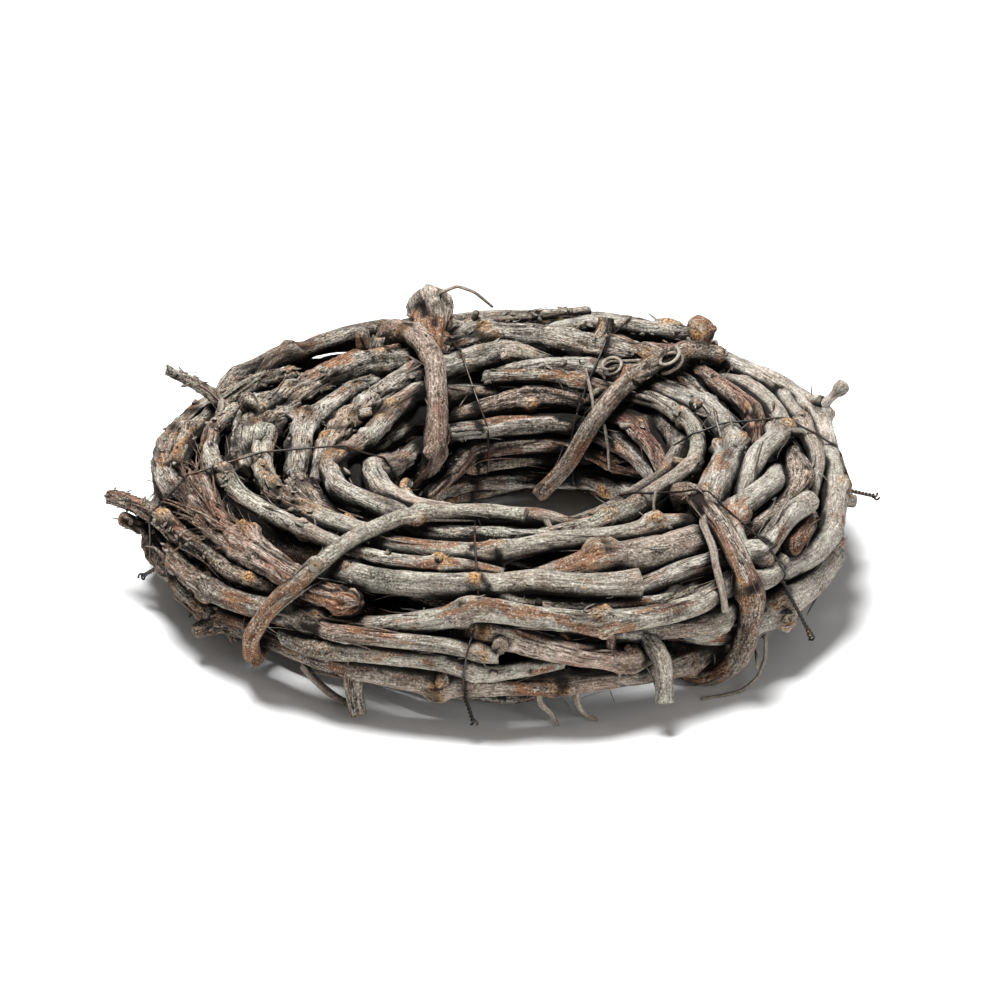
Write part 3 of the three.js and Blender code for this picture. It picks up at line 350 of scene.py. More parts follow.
def knuckles_of(line):
    """How much of a knuckle each point of a line is, from 0 to 1, and where their tops are."""
    radii = line.radii
    reach = max(3, int(round(KNUCKLE_REACH / (line.length / len(radii)))))
    padded = np.pad(radii, reach, mode="edge")
    usual = np.array([np.median(padded[i:i + 2 * reach + 1]) for i in range(len(radii))])
    strength = ease(KNUCKLE_FROM, KNUCKLE_FULL, radii / usual)
    tops = [i for i in range(2, len(radii) - 2)
            if strength[i] > 0.5 and radii[i] == radii[max(0, i - 4):i + 5].max()]
    return strength, tops


@dataclass
class Style:
    """How ribbed, cracked, peeled and twisted a kind of bark is, and how much is smooth or brown.

    Below the height rust_under all of it is brown. Crust is how much it takes of the rougher side.
    """

    ribs: float
    cracks: float
    peeled: float
    twist: float
    smooth: float
    rust: float
    rust_under: float = 0.0
    crust: float = 1.0


STYLES = {
    "bark_grey": Style(ribs=1.1, cracks=1.2, peeled=0.15, twist=3.0, smooth=0.4, rust=0.28),
    "bark_green": Style(ribs=1.0, cracks=1.0, peeled=0.08, twist=2.0, smooth=0.6, rust=0.3),
    "bark_brown": Style(ribs=1.3, cracks=1.3, peeled=0.25, twist=4.0, smooth=0.3, rust=0.42),
    "bark_red": Style(ribs=1.4, cracks=1.4, peeled=0.4, twist=4.0, smooth=0.2, rust=0.35),
    "bark_pale": Style(ribs=0.9, cracks=0.9, peeled=0.08, twist=2.5, smooth=0.75, rust=0.2),
    "bark_dark": Style(ribs=1.4, cracks=1.5, peeled=0.15, twist=3.0, smooth=0.2, rust=0.2),
}


def gnarled_side(place):
    """How much rougher the bark is on the left and at the back, from 0 to 1."""
    left = ease(20 * MM, -60 * MM, place[:, 0]) * ease(-130 * MM, -80 * MM, place[:, 1])
    return np.maximum(left, 0.55 * ease(50 * MM, 100 * MM, place[:, 1]))


def darker_low_left(place):
    """How much darker the bark is low on the left, from 0 to 1."""
    return ease(-45 * MM, -95 * MM, place[:, 0]) * ease(80 * MM, 55 * MM, place[:, 2])


# Cells of the bark's patterns: length along the cane, breadth round it
FLUTES = (60 * MM, 9 * MM)
RIBS = (26 * MM, 3.4 * MM)
FIBRES = (10 * MM, 1.8 * MM)
CRACKS = (30 * MM, 4.2 * MM)
PATCHES = (48 * MM, 13 * MM)
EDGES = (9 * MM, 3 * MM)
LUMPS = (7 * MM, 6.5 * MM)
PITS = (3.5 * MM, 3.0 * MM)
SCALES = (14 * MM, 3.8 * MM)
# Cells of wider patterns: length along the cane, how many round it
STRAYING = (70 * MM, 3)                 # how far the grain strays sideways
WAVERING = (18 * MM, 6)                 # and wavers
SPLITTING = (45 * MM, 4)                # where cracks are open
BROWNING = (28 * MM, 3)
CRUSTING = (24 * MM, 3)
BLEACHING = (55 * MM, 2)                # where the bark is smooth
KNOBS = (11 * MM, 4)
TWIG_LUMPS = (6 * MM, 3)
# Rise of each pattern on a cane of this radius
FULL_RISE_AT = 7 * MM
FLUTE_RISE = 0.6 * MM
RIB_RISE = 0.45 * MM
FIBRE_RISE = 0.34 * MM
CRACK_DEPTH = 1.3 * MM
SCALE_RISE = 0.45 * MM
PEELED_DEPTH = 0.55 * MM
LUMP_RISE = 1.3 * MM
PIT_RISE = 0.85 * MM


def bark_relief(rng, line, along, turn, radius, place, knuckle, style):
    """Height of the bark over a plain tube, in metres, and the masks that colour it."""
    girth = 2 * math.pi * float(np.median(line.radii))
    turn = turn + style.twist * along * rng.choice([-1, 1])
    turn = turn + 0.55 * pattern(rng, along, turn, *STRAYING) + 0.16 * pattern(rng, along, turn, *WAVERING)

    def laid(cell):
        return pattern(rng, along, turn, cell[0], girth / cell[1])

    flutes = laid(FLUTES)
    ribs = laid(RIBS)
    fibres = laid(FIBRES)
    split = np.abs(laid(CRACKS))
    open_here = ease(-0.5, 0.25, pattern(rng, along, turn, *SPLITTING))
    crack = (1 - ease(0.03, 0.22, split)) * open_here * style.cracks
    patches = laid(PATCHES)
    edge = laid(EDGES)
    peeled = ease(0.5 - style.peeled, 0.62 - style.peeled, patches + 0.35 * edge)
    rust = ease(0.8 - style.rust, 1.1 - style.rust, pattern(rng, along, turn, *BROWNING) + 0.45 * edge)
    rust = np.maximum(rust, ease(4 * MM, -4 * MM, place[:, 2] - style.rust_under + 9 * MM * edge))
    rougher = gnarled_side(place) * style.crust
    gnarled = rougher * ease(-0.35, 0.35, pattern(rng, along, turn, *CRUSTING))
    smooth = ease(0.7 - style.smooth, 1.1 - style.smooth, 0.6 * pattern(rng, along, turn, *BLEACHING)
                  + rng.uniform(0.0, 1.0)) * (1 - 0.8 * rougher)
    knuckle = np.maximum(knuckle, gnarled)
    lumps = laid(LUMPS)
    pits = laid(PITS)
    scales = ease(0.1, 0.3, laid(SCALES)) * (1 - peeled)
    coarse = 1 - 0.6 * smooth
    height = np.clip(radius / FULL_RISE_AT, 0.35, 1.5) * (
        FLUTE_RISE * flutes + coarse * style.ribs * (RIB_RISE * ribs + FIBRE_RISE * fibres)
        - CRACK_DEPTH * coarse * crack + coarse * (SCALE_RISE * scales - PEELED_DEPTH * peeled)
        + knuckle * (LUMP_RISE * lumps + PIT_RISE * pits))
    crevice = np.clip(coarse * (crack + ease(0.3, 0.95, -ribs - 0.6 * fibres) * 0.5 * style.ribs)
                      + 0.8 * knuckle * ease(0.1, 0.7, -lumps), 0, 1)
    return height, {"crevice": crevice, "peeled": peeled * coarse, "grain": coarse * 0.5 * (ribs + fibres),
                    "rust": rust, "smooth": smooth, "gnarled": gnarled}


def flat_grid(name, columns, rows, size):
    bm = bmesh.new()
    bmesh.ops.create_grid(bm, x_segments=columns, y_segments=rows, size=size)
    mesh = bpy.data.meshes.new(name)
    bm.to_mesh(mesh)
    bm.free()
    return mesh


def wrapped_grid(columns, rows):
    """A mesh of a flat grid, with each vertex's share round and along."""
    mesh = flat_grid("grid", columns, rows, 0.5)
    flat = np.empty(len(mesh.vertices) * 3, np.float32)
    mesh.vertices.foreach_get("co", flat)
    flat = flat.reshape(-1, 3).astype(float)
    return mesh, flat[:, 0] + 0.5, flat[:, 1] + 0.5


# How shut in bark is by its neighbours sets how much painted shade darkens it, in the gaps between canes
SHADE_TURNS = 12                        # directions round a line in which its neighbours are looked for
SHADE_REACH = 45 * MM
SHADE_LEAN = 0.9                        # how far aside it is looked, against straight out
SHADE_START = 1.12                      # where a look starts, against the radius


def shut_in(line):
    """How shut in a line is by its neighbours, at each point and in each direction, from 0 to 1."""
    course = Course(line)
    table = np.zeros((len(line.points), SHADE_TURNS))
    for at, side in np.ndindex(table.shape):
        outward = course.outward(at, 2 * math.pi * side / SHADE_TURNS)
        ahead = course.ahead[at]
        across = np.cross(ahead, outward)
        start = course.over(at, outward, SHADE_START)
        leans = (0 * across, ahead, -ahead, across, -across)
        for lean in leans:
            free = free_length(start, outward + lean * SHADE_LEAN, SHADE_REACH)
            table[at, side] += (1 - free / SHADE_REACH) / len(leans)
    return table


def read_table(table, row, turn):
    """Values of a table of points along by directions round, read between its cells."""
    row = np.clip(row, 0, table.shape[0] - 1.001)
    return between_cells(table, row, turn / (2 * math.pi) * table.shape[1], lambda share: share)


def add_masks(mesh, masks):
    for name, values in masks.items():
        kind = "FLOAT_VECTOR" if values.ndim == 2 else "FLOAT"
        layer = mesh.attributes.new(name, kind, "POINT")
        field = "vector" if values.ndim == 2 else "value"
        layer.data.foreach_set(field, values.astype(np.float32).ravel())


def lay(mesh, places):
    """Moves each vertex of a mesh to its place."""
    mesh.vertices.foreach_set("co", places.astype(np.float32).ravel())


def swept(middle, turn, wide, aside, tall, up):
    """Places round a middle line, so far from it sideways and so far upward."""
    return middle + (np.cos(turn) * wide)[:, None] * aside + (np.sin(turn) * tall)[:, None] * up


def along_line(values, spots, along):
    """Values kept at a line's points, read at any lengths along it."""
    if values.ndim == 1:
        return np.interp(along, spots, values)
    return np.stack([np.interp(along, spots, values[:, axis]) for axis in range(3)], axis=1)


# Masks of the relief, then of a whole skin
RELIEF_MASKS = ("crevice", "peeled", "grain", "rust", "smooth", "gnarled")
MASKS = RELIEF_MASKS + ("knot", "cut", "pith", "tone", "twig", "painted_shade")
BUDS = 3                                # lumps round a knuckle
SCARS = 2                               # how many of them have a scar
SMALL_BUD = 0.6                         # a later lump's size against the first one's
BUD_STRAY = 4 * MM                      # how far along the cane a lump is from the knuckle's top
BUD_RISE = 0.4                          # against the radius
SCAR_RISE = 0.35 * MM
SCAR_GRAIN = 2.5 * MM
TWIG_RISE = 0.12                        # of a fine twig's lumps, against its radius
SUNK = 0.99                             # where bark lies, against the tube's radius
# What darkens the bark's tone, and how much
GNARLED_TONE = 0.9
LOW_LEFT_TONE = 2.4
# How ragged, how freshly bare and how lumpy an end is
RAGGED = {"cut": 0.12, "broken": 0.55, "round": 0.1, "burl": 0.1}
BARED = {"cut": 0.85, "broken": 0.45, "round": 0.0, "burl": 0.0}
LUMPY = {"cut": 0.0, "broken": 0.0, "round": 0.0, "burl": 1.5}
BULGE = 0.7                             # of a round end, against its radius
DISHED = 0.06                           # how far a flat end is from flat, against the radius
LEAST_RISE = 0.1 * MM                   # bark that would sink into the floor is pressed flat on it
SHADE_PAINTED_FROM, SHADE_PAINTED_FULL = 0.12, 0.52       # how shut in bark is where painted shade starts to darken it, and where it is black


def capped_ends(ends, body, inset, to_end, mean, at_end, rng):
    """Radius and push outward of the rows that close a skin at its ends."""
    flat = body * np.where(inset > 0, (1 - inset) ** 0.8, 1)
    dished = inset * mean * DISHED * rng.choice([-1, 1])
    domed = body * np.cos(inset * math.pi / 2)
    bulge = np.sin(inset * math.pi / 2) * body * BULGE
    inward = 0.9 * np.clip(1 - to_end / mean, 0, 1) + 0.1 * inset
    shapes = {"cut": (flat, dished), "broken": (flat, dished), "round": (domed, bulge),
              "burl": (body * np.sqrt(1 - inward ** 2), 0 * inset)}
    first, last = shapes[ends[0]], shapes[ends[1]]
    out = np.where(at_end > 0, last[0], first[0])
    push = at_end * np.where(at_end > 0, last[1], first[1])
    return out, push


def buds_on(rng, tops, spots, along, turn, radius):
    """How far buds stand from the bark round its knuckles, and where they left scars, from 0 to 1."""
    bud = np.zeros_like(radius)
    scar = np.zeros_like(radius)
    side = rng.uniform(0, 2 * math.pi)
    for top in tops:
        side += math.pi + rng.uniform(-0.6, 0.6)
        for lump in range(BUDS):
            size = 1 if lump == 0 else SMALL_BUD
            turned = side + lump * rng.uniform(1.2, 2.6)
            spot = spots[top] + rng.uniform(-1, 1) * BUD_STRAY
            width = rng.uniform(0.55, 1.0) * size * radius
            around_bud = (turn - turned + math.pi) % (2 * math.pi) - math.pi
            away = np.hypot((along - spot) / (width * 1.15), around_bud * radius / width)
            rise = rng.uniform(0.6, 1.0) * size
            bud = np.maximum(bud, (1 - ease(0.45, 1.15, away)) * rise)
            if lump < SCARS:
                scar = np.maximum(scar, 1 - ease(0.45, 0.75, away))
    return bud, scar


def bark_skin(line, cell, style, label, ends, shade=0.0, gnarl=0.0):
    """One cane or shoot in bark, as a mesh whose seam and poles are still open.

    Each end is cut, broken, round or a burl. Shade is painted shade on shut-in bark; gnarl makes it lumpier.
    """
    rng = seeded(label)
    length = line.length
    mean = float(np.median(line.radii))
    fine = mean < FINE_TWIG
    columns = int(np.clip(round(2 * math.pi * mean / cell[0]), FEWEST_COLUMNS, MOST_COLUMNS))
    row_length = min(cell[1], mean) if fine else cell[1]
    rows_along = max(FEWEST_ROWS, int(round(length / row_length)))
    rows = rows_along + 2 * CAP_ROWS
    mesh, around, share = wrapped_grid(columns, rows)
    row = share * rows
    turn = around * 2 * math.pi
    along = np.clip((row - CAP_ROWS) / rows_along, 0, 1) * length
    inset = np.clip(np.maximum(CAP_ROWS - row, row - (rows - CAP_ROWS)) / CAP_ROWS, 0, 1)
    rim = 1 - inset
    at_end = np.where(row > rows / 2, 1, -1)
    to_end = np.where(at_end > 0, length - along, along)
    ragged, bared, lumpy = (np.where(at_end > 0, table[ends[1]], table[ends[0]])
                            for table in (RAGGED, BARED, LUMPY))
    spots = np.linspace(0, length, len(line.points))
    middle = along_line(line.points, spots, along)
    radius = along_line(line.radii, spots, along)
    strength, tops = knuckles_of(line)
    if fine:
        height = TWIG_RISE * radius * pattern(rng, along, turn, *TWIG_LUMPS)
        knuckle = np.zeros_like(radius)
        masks = {name: knuckle for name in RELIEF_MASKS}
        tops = []
    else:
        knuckle = np.maximum(along_line(strength, spots, along), lumpy * ease(2.6, 1.2, to_end / mean))
        knuckle = np.maximum(knuckle, gnarl)
        height, masks = bark_relief(rng, line, along, turn, radius, middle, knuckle, style)
    bud, scar = buds_on(rng, tops, spots, along, turn, radius)
    rough_scar = SCAR_RISE * scar * pattern(rng, along, turn, SCAR_GRAIN, max(4, columns / 4))
    body = radius * SUNK + (height + bud * radius * BUD_RISE + rough_scar) * rim
    out, push = capped_ends(ends, body, inset, to_end, mean, at_end, rng)
    splinters = pattern(rng, along * 0, turn, 1, columns / 3) * ragged * mean
    push = push + at_end * np.where(inset > 0, splinters * rim * rng.uniform(0.5, 1.0), 0)
    ahead, asides, raised = (along_line(ways, spots, along) for ways in frames_along(line.points))
    place = swept(middle + push[:, None] * ahead, turn, out, asides, out, raised)
    place[:, 2] = np.maximum(place[:, 2], LEAST_RISE)
    lay(mesh, place)
    bark_place = np.stack([np.cos(turn) * radius * rim, np.sin(turn) * radius * rim,
                           along + rng.uniform(0, 3) + 0.3 * MM * at_end * inset], axis=1) / MM
    crusted = np.clip(np.maximum(knuckle, 0.8 * masks["gnarled"]), 0, 1)
    knobby = 0.9 * crusted * ease(0.0, 0.55, pattern(rng, along, turn, *KNOBS))
    closed_in = 0 * along
    if not line.reshaped:
        closed_in = read_table(shut_in(line), along / length * (len(line.points) - 1), turn)
    # Painted shade on canes in the gaps, strongest where the bark is shut in
    shade_here = shade * ease(0.06, 0.3, closed_in)
    masks.update({
        "bark_place": bark_place,
        "crevice": masks["crevice"] * rim,
        "peeled": masks["peeled"] * rim,
        "knot": np.clip(scar * rng.choice([0.6, 1.0]) + 0.55 * bud + knobby, 0, 1),
        "cut": ease(0.02, 0.1, inset) * bared,
        "pith": inset,
        # Tone: drawn for each skin, darker on the gnarled side and low on the left, and darker still with
        # painted shade
        "tone": (rng.uniform(-1, 1) - shade_here - GNARLED_TONE * masks["gnarled"]
                 - LOW_LEFT_TONE * darker_low_left(place)),
        "twig": np.full_like(radius, fine),
        # Painted shade, near black where the bark is shut in by its neighbours
        "painted_shade": ease(SHADE_PAINTED_FROM, SHADE_PAINTED_FULL, closed_in + 0.06 * shade_here),
    })
    add_masks(mesh, masks)
    return mesh


# Loose strips of bark, flakes of crust, torn fibres and spurs
#
# Each is a sliver: a flattened tube of a few dozen faces that leaves the cane at its root.
# Two values in brackets are the least and the most, in mm where nothing else is said.

SLIVER_SIDES = 4
SLIVER_ROWS = 7
SLIVER_ENDS = 0.02                      # share of its length over which a sliver closes
TINY = 1e-12                            # keeps a length from being zero
FLOOR_GAP = 1.5 * MM
STRIP_EVERY = 13 * MM
STRIP_LIFT = (0.8, 5.5)
STRIP_SPAN = (10, 34)
STRIP_WIDTH = (0.7, 2.4)
STRIP_THICKNESS = 0.35 * MM
STRIP_ROOM = 2.5 * MM                   # least room over a cane for a strip
ROOM_SOUGHT = 12 * MM                   # how far over a cane room is looked for
FLAKES = 8                              # round a knuckle
FLAKES_GNARLED = 2                      # at each point of a line on the gnarled side
FLAKE_LENGTH = (2.2, 5)
FLAKE_WIDTH = (1.6, 3.6)
FLAKE_THICKNESS = 0.7 * MM
FIBRES_TORN = 620
FRAYED = 85 * MM                        # the stretch of a torn cane that fibres leave
FIBRE_MOST = 44 * MM
FIBRE_WIDTHS = [0.4, 0.6, 0.9, 1.8]     # one of these
FIBRE_THICKNESS = (0.25, 0.5)
FIBRE_SAG = np.array([0, 0, 0.16])
SPUR_EVERY = 45 * MM
SPUR_LENGTH = (3, 10)
SPUR_THICKNESS = (0.5, 1.1)
STUB_EVERY = 110 * MM
STUB_LENGTH = (1.0, 5.5)
STUB_BREADTH = (0.3, 0.6)               # against the radius of its cane
STUB_GNARL = 0.9
STUBS_AT_KNUCKLES = 0.7                 # share of the stubs, on a cane that has knuckles
# How often each kind of end is drawn, on stubs and on canes without ends of their own in ENDS
STUB_ENDS = {"round": 0.5, "broken": 0.44, "cut": 0.06}
CANE_ENDS = {"cut": 0.2, "broken": 0.55, "round": 0.25}


def bent_away(start, heading, curl, length, count=6):
    """Points that leave a place in a direction and bend as they go."""
    return np.array([start + (heading + curl * share) * length * share for share in np.linspace(0, 1, count)])


def drawn_ends(rng, kinds, count=None):
    """One or more kinds of end, drawn from a table of how often each comes."""
    return rng.choice(list(kinds), size=count, p=list(kinds.values()))


def clears_floor(points):
    """Whether no point is so low that a sliver there would touch the floor."""
    return points[:, 2].min() > FLOOR_GAP


def sliver(points, width, thickness, flat_way, tone, bare, rust=0.0):
    """A tapered strip along some points, flattened across a given direction."""
    mesh, around, share = wrapped_grid(SLIVER_SIDES, SLIVER_ROWS)
    turn = around * 2 * math.pi
    spots = np.linspace(0, 1, len(points))
    ahead = np.gradient(points, axis=0)
    ahead /= np.linalg.norm(ahead, axis=1)[:, None] + TINY
    ahead = along_line(ahead, spots, share)
    across = np.cross(ahead, along_line(np.broadcast_to(flat_way, points.shape), spots, share))
    across /= np.linalg.norm(across, axis=1)[:, None] + TINY
    closed = (share < SLIVER_ENDS) | (share > 1 - SLIVER_ENDS)
    taper = np.where(closed, 0, 0.35 + 0.65 * np.sin(math.pi * share ** 0.6))
    place = swept(along_line(points, spots, share), turn, width / 2 * taper, across,
                  thickness / 2 * taper, np.cross(across, ahead))
    place[:, 2] = np.maximum(place[:, 2], LEAST_RISE)
    lay(mesh, place)
    given = {"peeled": bare, "grain": 0.3, "rust": rust, "tone": tone}
    masks = {name: np.full_like(share, given.get(name, 0.0)) for name in MASKS}
    along = share * length_of(points) / MM
    masks["bark_place"] = np.stack([np.cos(turn) * 2, np.sin(turn) * 2, along], axis=1)
    add_masks(mesh, masks)
    return mesh


def loose_strips(line, rng, every, shade):
    """Strips that have peeled from a cane along one edge and curl away from it."""
    strips = []
    course = Course(line)
    for _ in range(int(line.length / every)):
        at = rng.integers(2, max(3, course.last - 2))
        side = rng.uniform(0, 2 * math.pi)
        outward = course.outward(at, side)
        clear = free_length(course.over(at, outward, 1.15), outward, ROOM_SOUGHT)
        if clear < STRIP_ROOM:
            continue
        lift = min(clear * 0.6, rng.uniform(*STRIP_LIFT) * MM)
        span = rng.uniform(*STRIP_SPAN) * MM
        heading = rng.choice([-1, 1])
        drift = rng.uniform(-0.5, 0.5)
        points = []
        ways = []
        for share in np.linspace(0, 1, 6):
            there = int(np.clip(at + heading * round(span * share / course.spacing), 0, course.last))
            way = course.outward(there, side + drift * share)
            on_line = line.points[there]
            if there in (0, course.last):
                on_line = on_line + course.ahead[there] * heading * span * share * 0.3
            points.append(on_line + way * (line.radii[at] * 0.97 + lift * share ** 1.8))
            ways.append(way)
        points = np.array(points)
        if clears_floor(points):
            strips.append(sliver(points, rng.uniform(*STRIP_WIDTH) * MM, STRIP_THICKNESS, np.array(ways),
                                 rng.uniform(-1, 1) - shade, rng.choice([0.0, 0.5, 1.0])))
    return strips


def crust(line, rng):
    """Short flakes of bark that stand up round the knuckles and on the gnarled side."""
    flakes = []
    course = Course(line)
    tops = knuckles_of(line)[1]
    gnarled = [i for i, share in enumerate(gnarled_side(line.points)) if share > 0.5]
    for top in np.repeat(tops, FLAKES).astype(int).tolist() + gnarled * FLAKES_GNARLED:
        at = int(np.clip(top + rng.integers(-2, 3), 0, course.last))
        outward = course.outward(at, rng.uniform(0, 2 * math.pi))
        start = course.over(at, outward, 0.9)
        if free_length(start + outward * 2 * MM, outward, 5 * MM) < 3 * MM:
            continue
        aside = np.cross(outward, course.ahead[at])
        heading = course.ahead[at] * rng.choice([-1, 1]) + outward * rng.uniform(0.0, 0.25)
        heading = heading + aside * rng.normal(0, 0.5)
        points = bent_away(start, heading, 0.15 * outward, rng.uniform(*FLAKE_LENGTH) * MM, 5)
        if clears_floor(points):
            flakes.append(sliver(points, rng.uniform(*FLAKE_WIDTH) * MM, FLAKE_THICKNESS, outward,
                                 rng.uniform(-1, 1), rng.uniform(0, 0.6)))
    return flakes


def torn_fibres(line, rng):
    """Fibres that fray from the left end of a torn cane and droop."""
    fibres = []
    course = Course(line)
    at_start = line.points[0][0] < line.points[-1][0]
    end = 0 if at_start else course.last
    leaving = -course.ahead if at_start else course.ahead
    for _ in range(FIBRES_TORN):
        back = int(FRAYED * rng.uniform(0, 1) ** 1.5 / course.spacing)
        at = back if at_start else end - back
        outward = course.outward(at, rng.uniform(0, 2 * math.pi))
        start = course.over(at, outward, 0.92)
        spread = rng.uniform(0.0, 0.8) ** 2
        heading = 0.3 * leaving[end] + 0.7 * leaving[at] + outward * spread * 0.5
        heading /= np.linalg.norm(heading)
        clear = free_length(start + outward * 1.5 * MM, heading, FIBRE_MOST)
        length = min(rng.uniform(0.2, 1) ** 2 * FIBRE_MOST, clear)
        droop = rng.normal(0, 0.2, 3) - FIBRE_SAG
        points = bent_away(start, heading, droop, length)
        fibres.append(sliver(points, rng.choice(FIBRE_WIDTHS) * MM, rng.uniform(*FIBRE_THICKNESS) * MM,
                             outward + 0.2 * droop, rng.uniform(-2.5, 1), 0.0, rng.uniform(0.1, 0.8)))
    return fibres


def spurs(line, rng, every):
    """Thin dry twiglets that stand from a cane where there is room."""
    grown = []
    course = Course(line)
    for _ in range(int(line.length / every)):
        at = rng.integers(1, course.last)
        outward = course.outward(at, rng.uniform(0, 2 * math.pi))
        heading = outward + course.ahead[at] * rng.uniform(-1.2, 1.2)
        heading /= np.linalg.norm(heading)
        length = rng.uniform(*SPUR_LENGTH) * MM
        start = course.over(at, outward, 0.9)
        if free_length(start + outward * 1.5 * MM, heading, length + 2 * MM) < length:
            continue
        points = bent_away(start, heading, rng.normal(0, 0.35, 3), length)
        if clears_floor(points):
            thick = rng.uniform(*SPUR_THICKNESS) * MM
            grown.append(sliver(points, thick, thick * 0.8, course.asides[at], rng.uniform(-1, 1), 0.0))
    return grown


def stubs(line, rng, style, every, label, shade):
    """Short broken side shoots, where there is room for them."""
    grown = []
    course = Course(line)
    tops = knuckles_of(line)[1]
    for _ in range(int(line.length / every) + len(tops) // 2):
        at_knuckle = len(tops) and rng.uniform() < STUBS_AT_KNUCKLES
        at = rng.choice(tops) if at_knuckle else rng.integers(2, max(3, course.last - 2))
        at = min(int(at), course.last)
        outward = course.outward(at, rng.uniform(0, 2 * math.pi))
        way = outward + course.ahead[at] * rng.uniform(-0.7, 0.7)
        way /= np.linalg.norm(way)
        radius = line.radii[at]
        thick = rng.uniform(*STUB_BREADTH) * radius
        length = rng.uniform(*STUB_LENGTH) * MM
        clear = free_length(course.over(at, way, 1.2), way, length + 4 * MM)
        if clear < length + 3 * MM:
            continue
        points = bent_away(line.points[at], way, rng.normal(0, 0.12, 3), radius + length, 7)
        if not clears_floor(points - thick * 1.2):
            continue
        shares = np.linspace(0, 1, len(points))
        stub = Line(line.node, points, thick * (1.6 - 1.3 * shares + 0.6 * shares ** 2), 5, root=line)
        end = drawn_ends(rng, STUB_ENDS)
        name = f"{label}_{len(grown)}"
        grown.append(bark_skin(stub, STUB_CELL, style, name, ("round", end), shade, STUB_GNARL))
    return grown


SKIN_WELD = 0.002 * MM


def shown(name, data):
    """A new object in the scene."""
    thing = bpy.data.objects.new(name, data)
    bpy.context.scene.collection.objects.link(thing)
    return thing


def sealed(parts, name):
    """One object from the open skins of a piece, each seam welded and each pole closed."""
    bm = bmesh.new()
    for part in parts:
        bm.from_mesh(part)
        bpy.data.meshes.remove(part)
    bmesh.ops.remove_doubles(bm, verts=bm.verts, dist=SKIN_WELD)
    mesh = bpy.data.meshes.new(name)
    bm.to_mesh(mesh)
    bm.free()
    mesh.shade_smooth()
    return shown(name, mesh)


def cell_for(node):
    """How fine a node's bark is."""
    if node.startswith("core"):
        return CORE_CELL
    return HIDDEN_CELL if "fill" in node else SHOWN_CELL


# Dressing the canes
#
# A cane or shoot is named by its node and its place among the node's lines.

# Ends that the photo shows
ENDS = {
    ("cane_top_thick", 1): ("burl", "round"),
    ("cane_front_torn", 0): ("burl", "broken"),
    ("cane_right_lower", 1): ("cut", "round"),
    ("cane_left_stub", 0): ("cut", "round"),
    ("twig_knob", 0): ("broken", "round"),
    ("twig_knob", 1): ("round", "round"),
    ("cane_right_branch", 2): ("round", "round"),
}
GNARLS = {("cane_top_thick", 1): 1.3, ("twig_knob", 1): 0.7, ("cane_right_branch", 2): 0.4}
OWN_STYLES = {
    ("twig_knob", 1): Style(ribs=0.6, cracks=0.5, peeled=0.0, twist=2.0, smooth=0.3, rust=1.7),
    ("cane_top_thick", 1): Style(ribs=1.0, cracks=0.8, peeled=0.0, twist=2.0, smooth=0.2, rust=0.5),
    "binder_left": Style(ribs=0.9, cracks=0.8, peeled=0.1, twist=1.0, smooth=0.6, rust=0.1,
                         rust_under=79 * MM, crust=0.0),
    "binder_back": Style(ribs=0.8, cracks=0.7, peeled=0.1, twist=1.0, smooth=1.0, rust=0.1, crust=0.2),
    "cane_top_thick": Style(ribs=1.5, cracks=1.5, peeled=0.2, twist=1.5, smooth=0.0, rust=0.35),
    "cane_front_torn": Style(ribs=1.7, cracks=1.6, peeled=0.45, twist=1.0, smooth=-0.5, rust=0.5),
    "twig_knob": Style(ribs=1.0, cracks=0.6, peeled=0.1, twist=2.0, smooth=0.5, rust=0.1),
    "cane_right_light": Style(ribs=0.7, cracks=0.6, peeled=0.0, twist=1.0, smooth=1.2, rust=0.0),
    "cane_right_branch": Style(ribs=0.9, cracks=0.8, peeled=0.0, twist=1.5, smooth=1.0, rust=0.1),
}
# How much painted shade darkens bark where it is shut in, on canes in the gaps
FILL_SHADE = 4.0
SHADES = {"cane_fill_01": 9.0, "cane_inner_low": 4.0, "cane_inner_pink": 1.8, "cane_inner_back": 2.4}
# Canes thicker than in CAD, where the floor would show between them
THICKER = {("cane_top_thick", 0): 1.13, ("core_cane_1", 0): 1.1, ("cane_fill_14", 0): 1.15}
# Twigs that the photo shows beside those of the CAD: radius, end and places from root to tip, in mm
TWIGS = {
    "cane_top_thick": [(1.2, "round", [(-31, 138, 112), (-21, 139, 116), (-11, 140, 111.5), (-1, 143, 101)])],
    "cane_rim_slim": [(0.9, "round", [(87, -118, 94), (86, -117, 101), (87, -115, 107), (89, -113, 113)])],
    "binder_inner": [(1.2, "round", [(57, 59, 67), (56.5, 63, 75), (54.8, 69, 82.5), (52, 78, 90.5)])],
    "binder_left": [(5.2, "cut", [(-95.3, -154, 83), (-95.4, -157.5, 84.7), (-95.5, -161.6, 86.8)])],
}
RARER_HIDDEN = 2.5                      # how much rarer strips, stubs and spurs are on hidden canes
TWIG_TIP = 0.7                          # radius of a twig's tip, against its root's
# Against the greatest radius of the CAD shoot
KNOB_BREADTH = 1.15
KNOB_RISE = 0.2
BURL_BREADTH = 1.06
BURL_NECK = 0.93


def as_knob(line):
    """The ball that a shoot shorter than it is thick stands for."""
    radius = float(line.radii.max()) * KNOB_BREADTH
    root = line.root.points
    way = (root[-1] - root[-3]) / np.linalg.norm(root[-1] - root[-3])
    shares = np.linspace(-1, 1, 11)
    middle = line.points.mean(axis=0) + np.array([0, 0, KNOB_RISE * radius])
    points = middle + way * radius * shares[:, None]
    return replace(line, points=points, radii=radius * np.sqrt(1.06 - shares ** 2), reshaped=True)


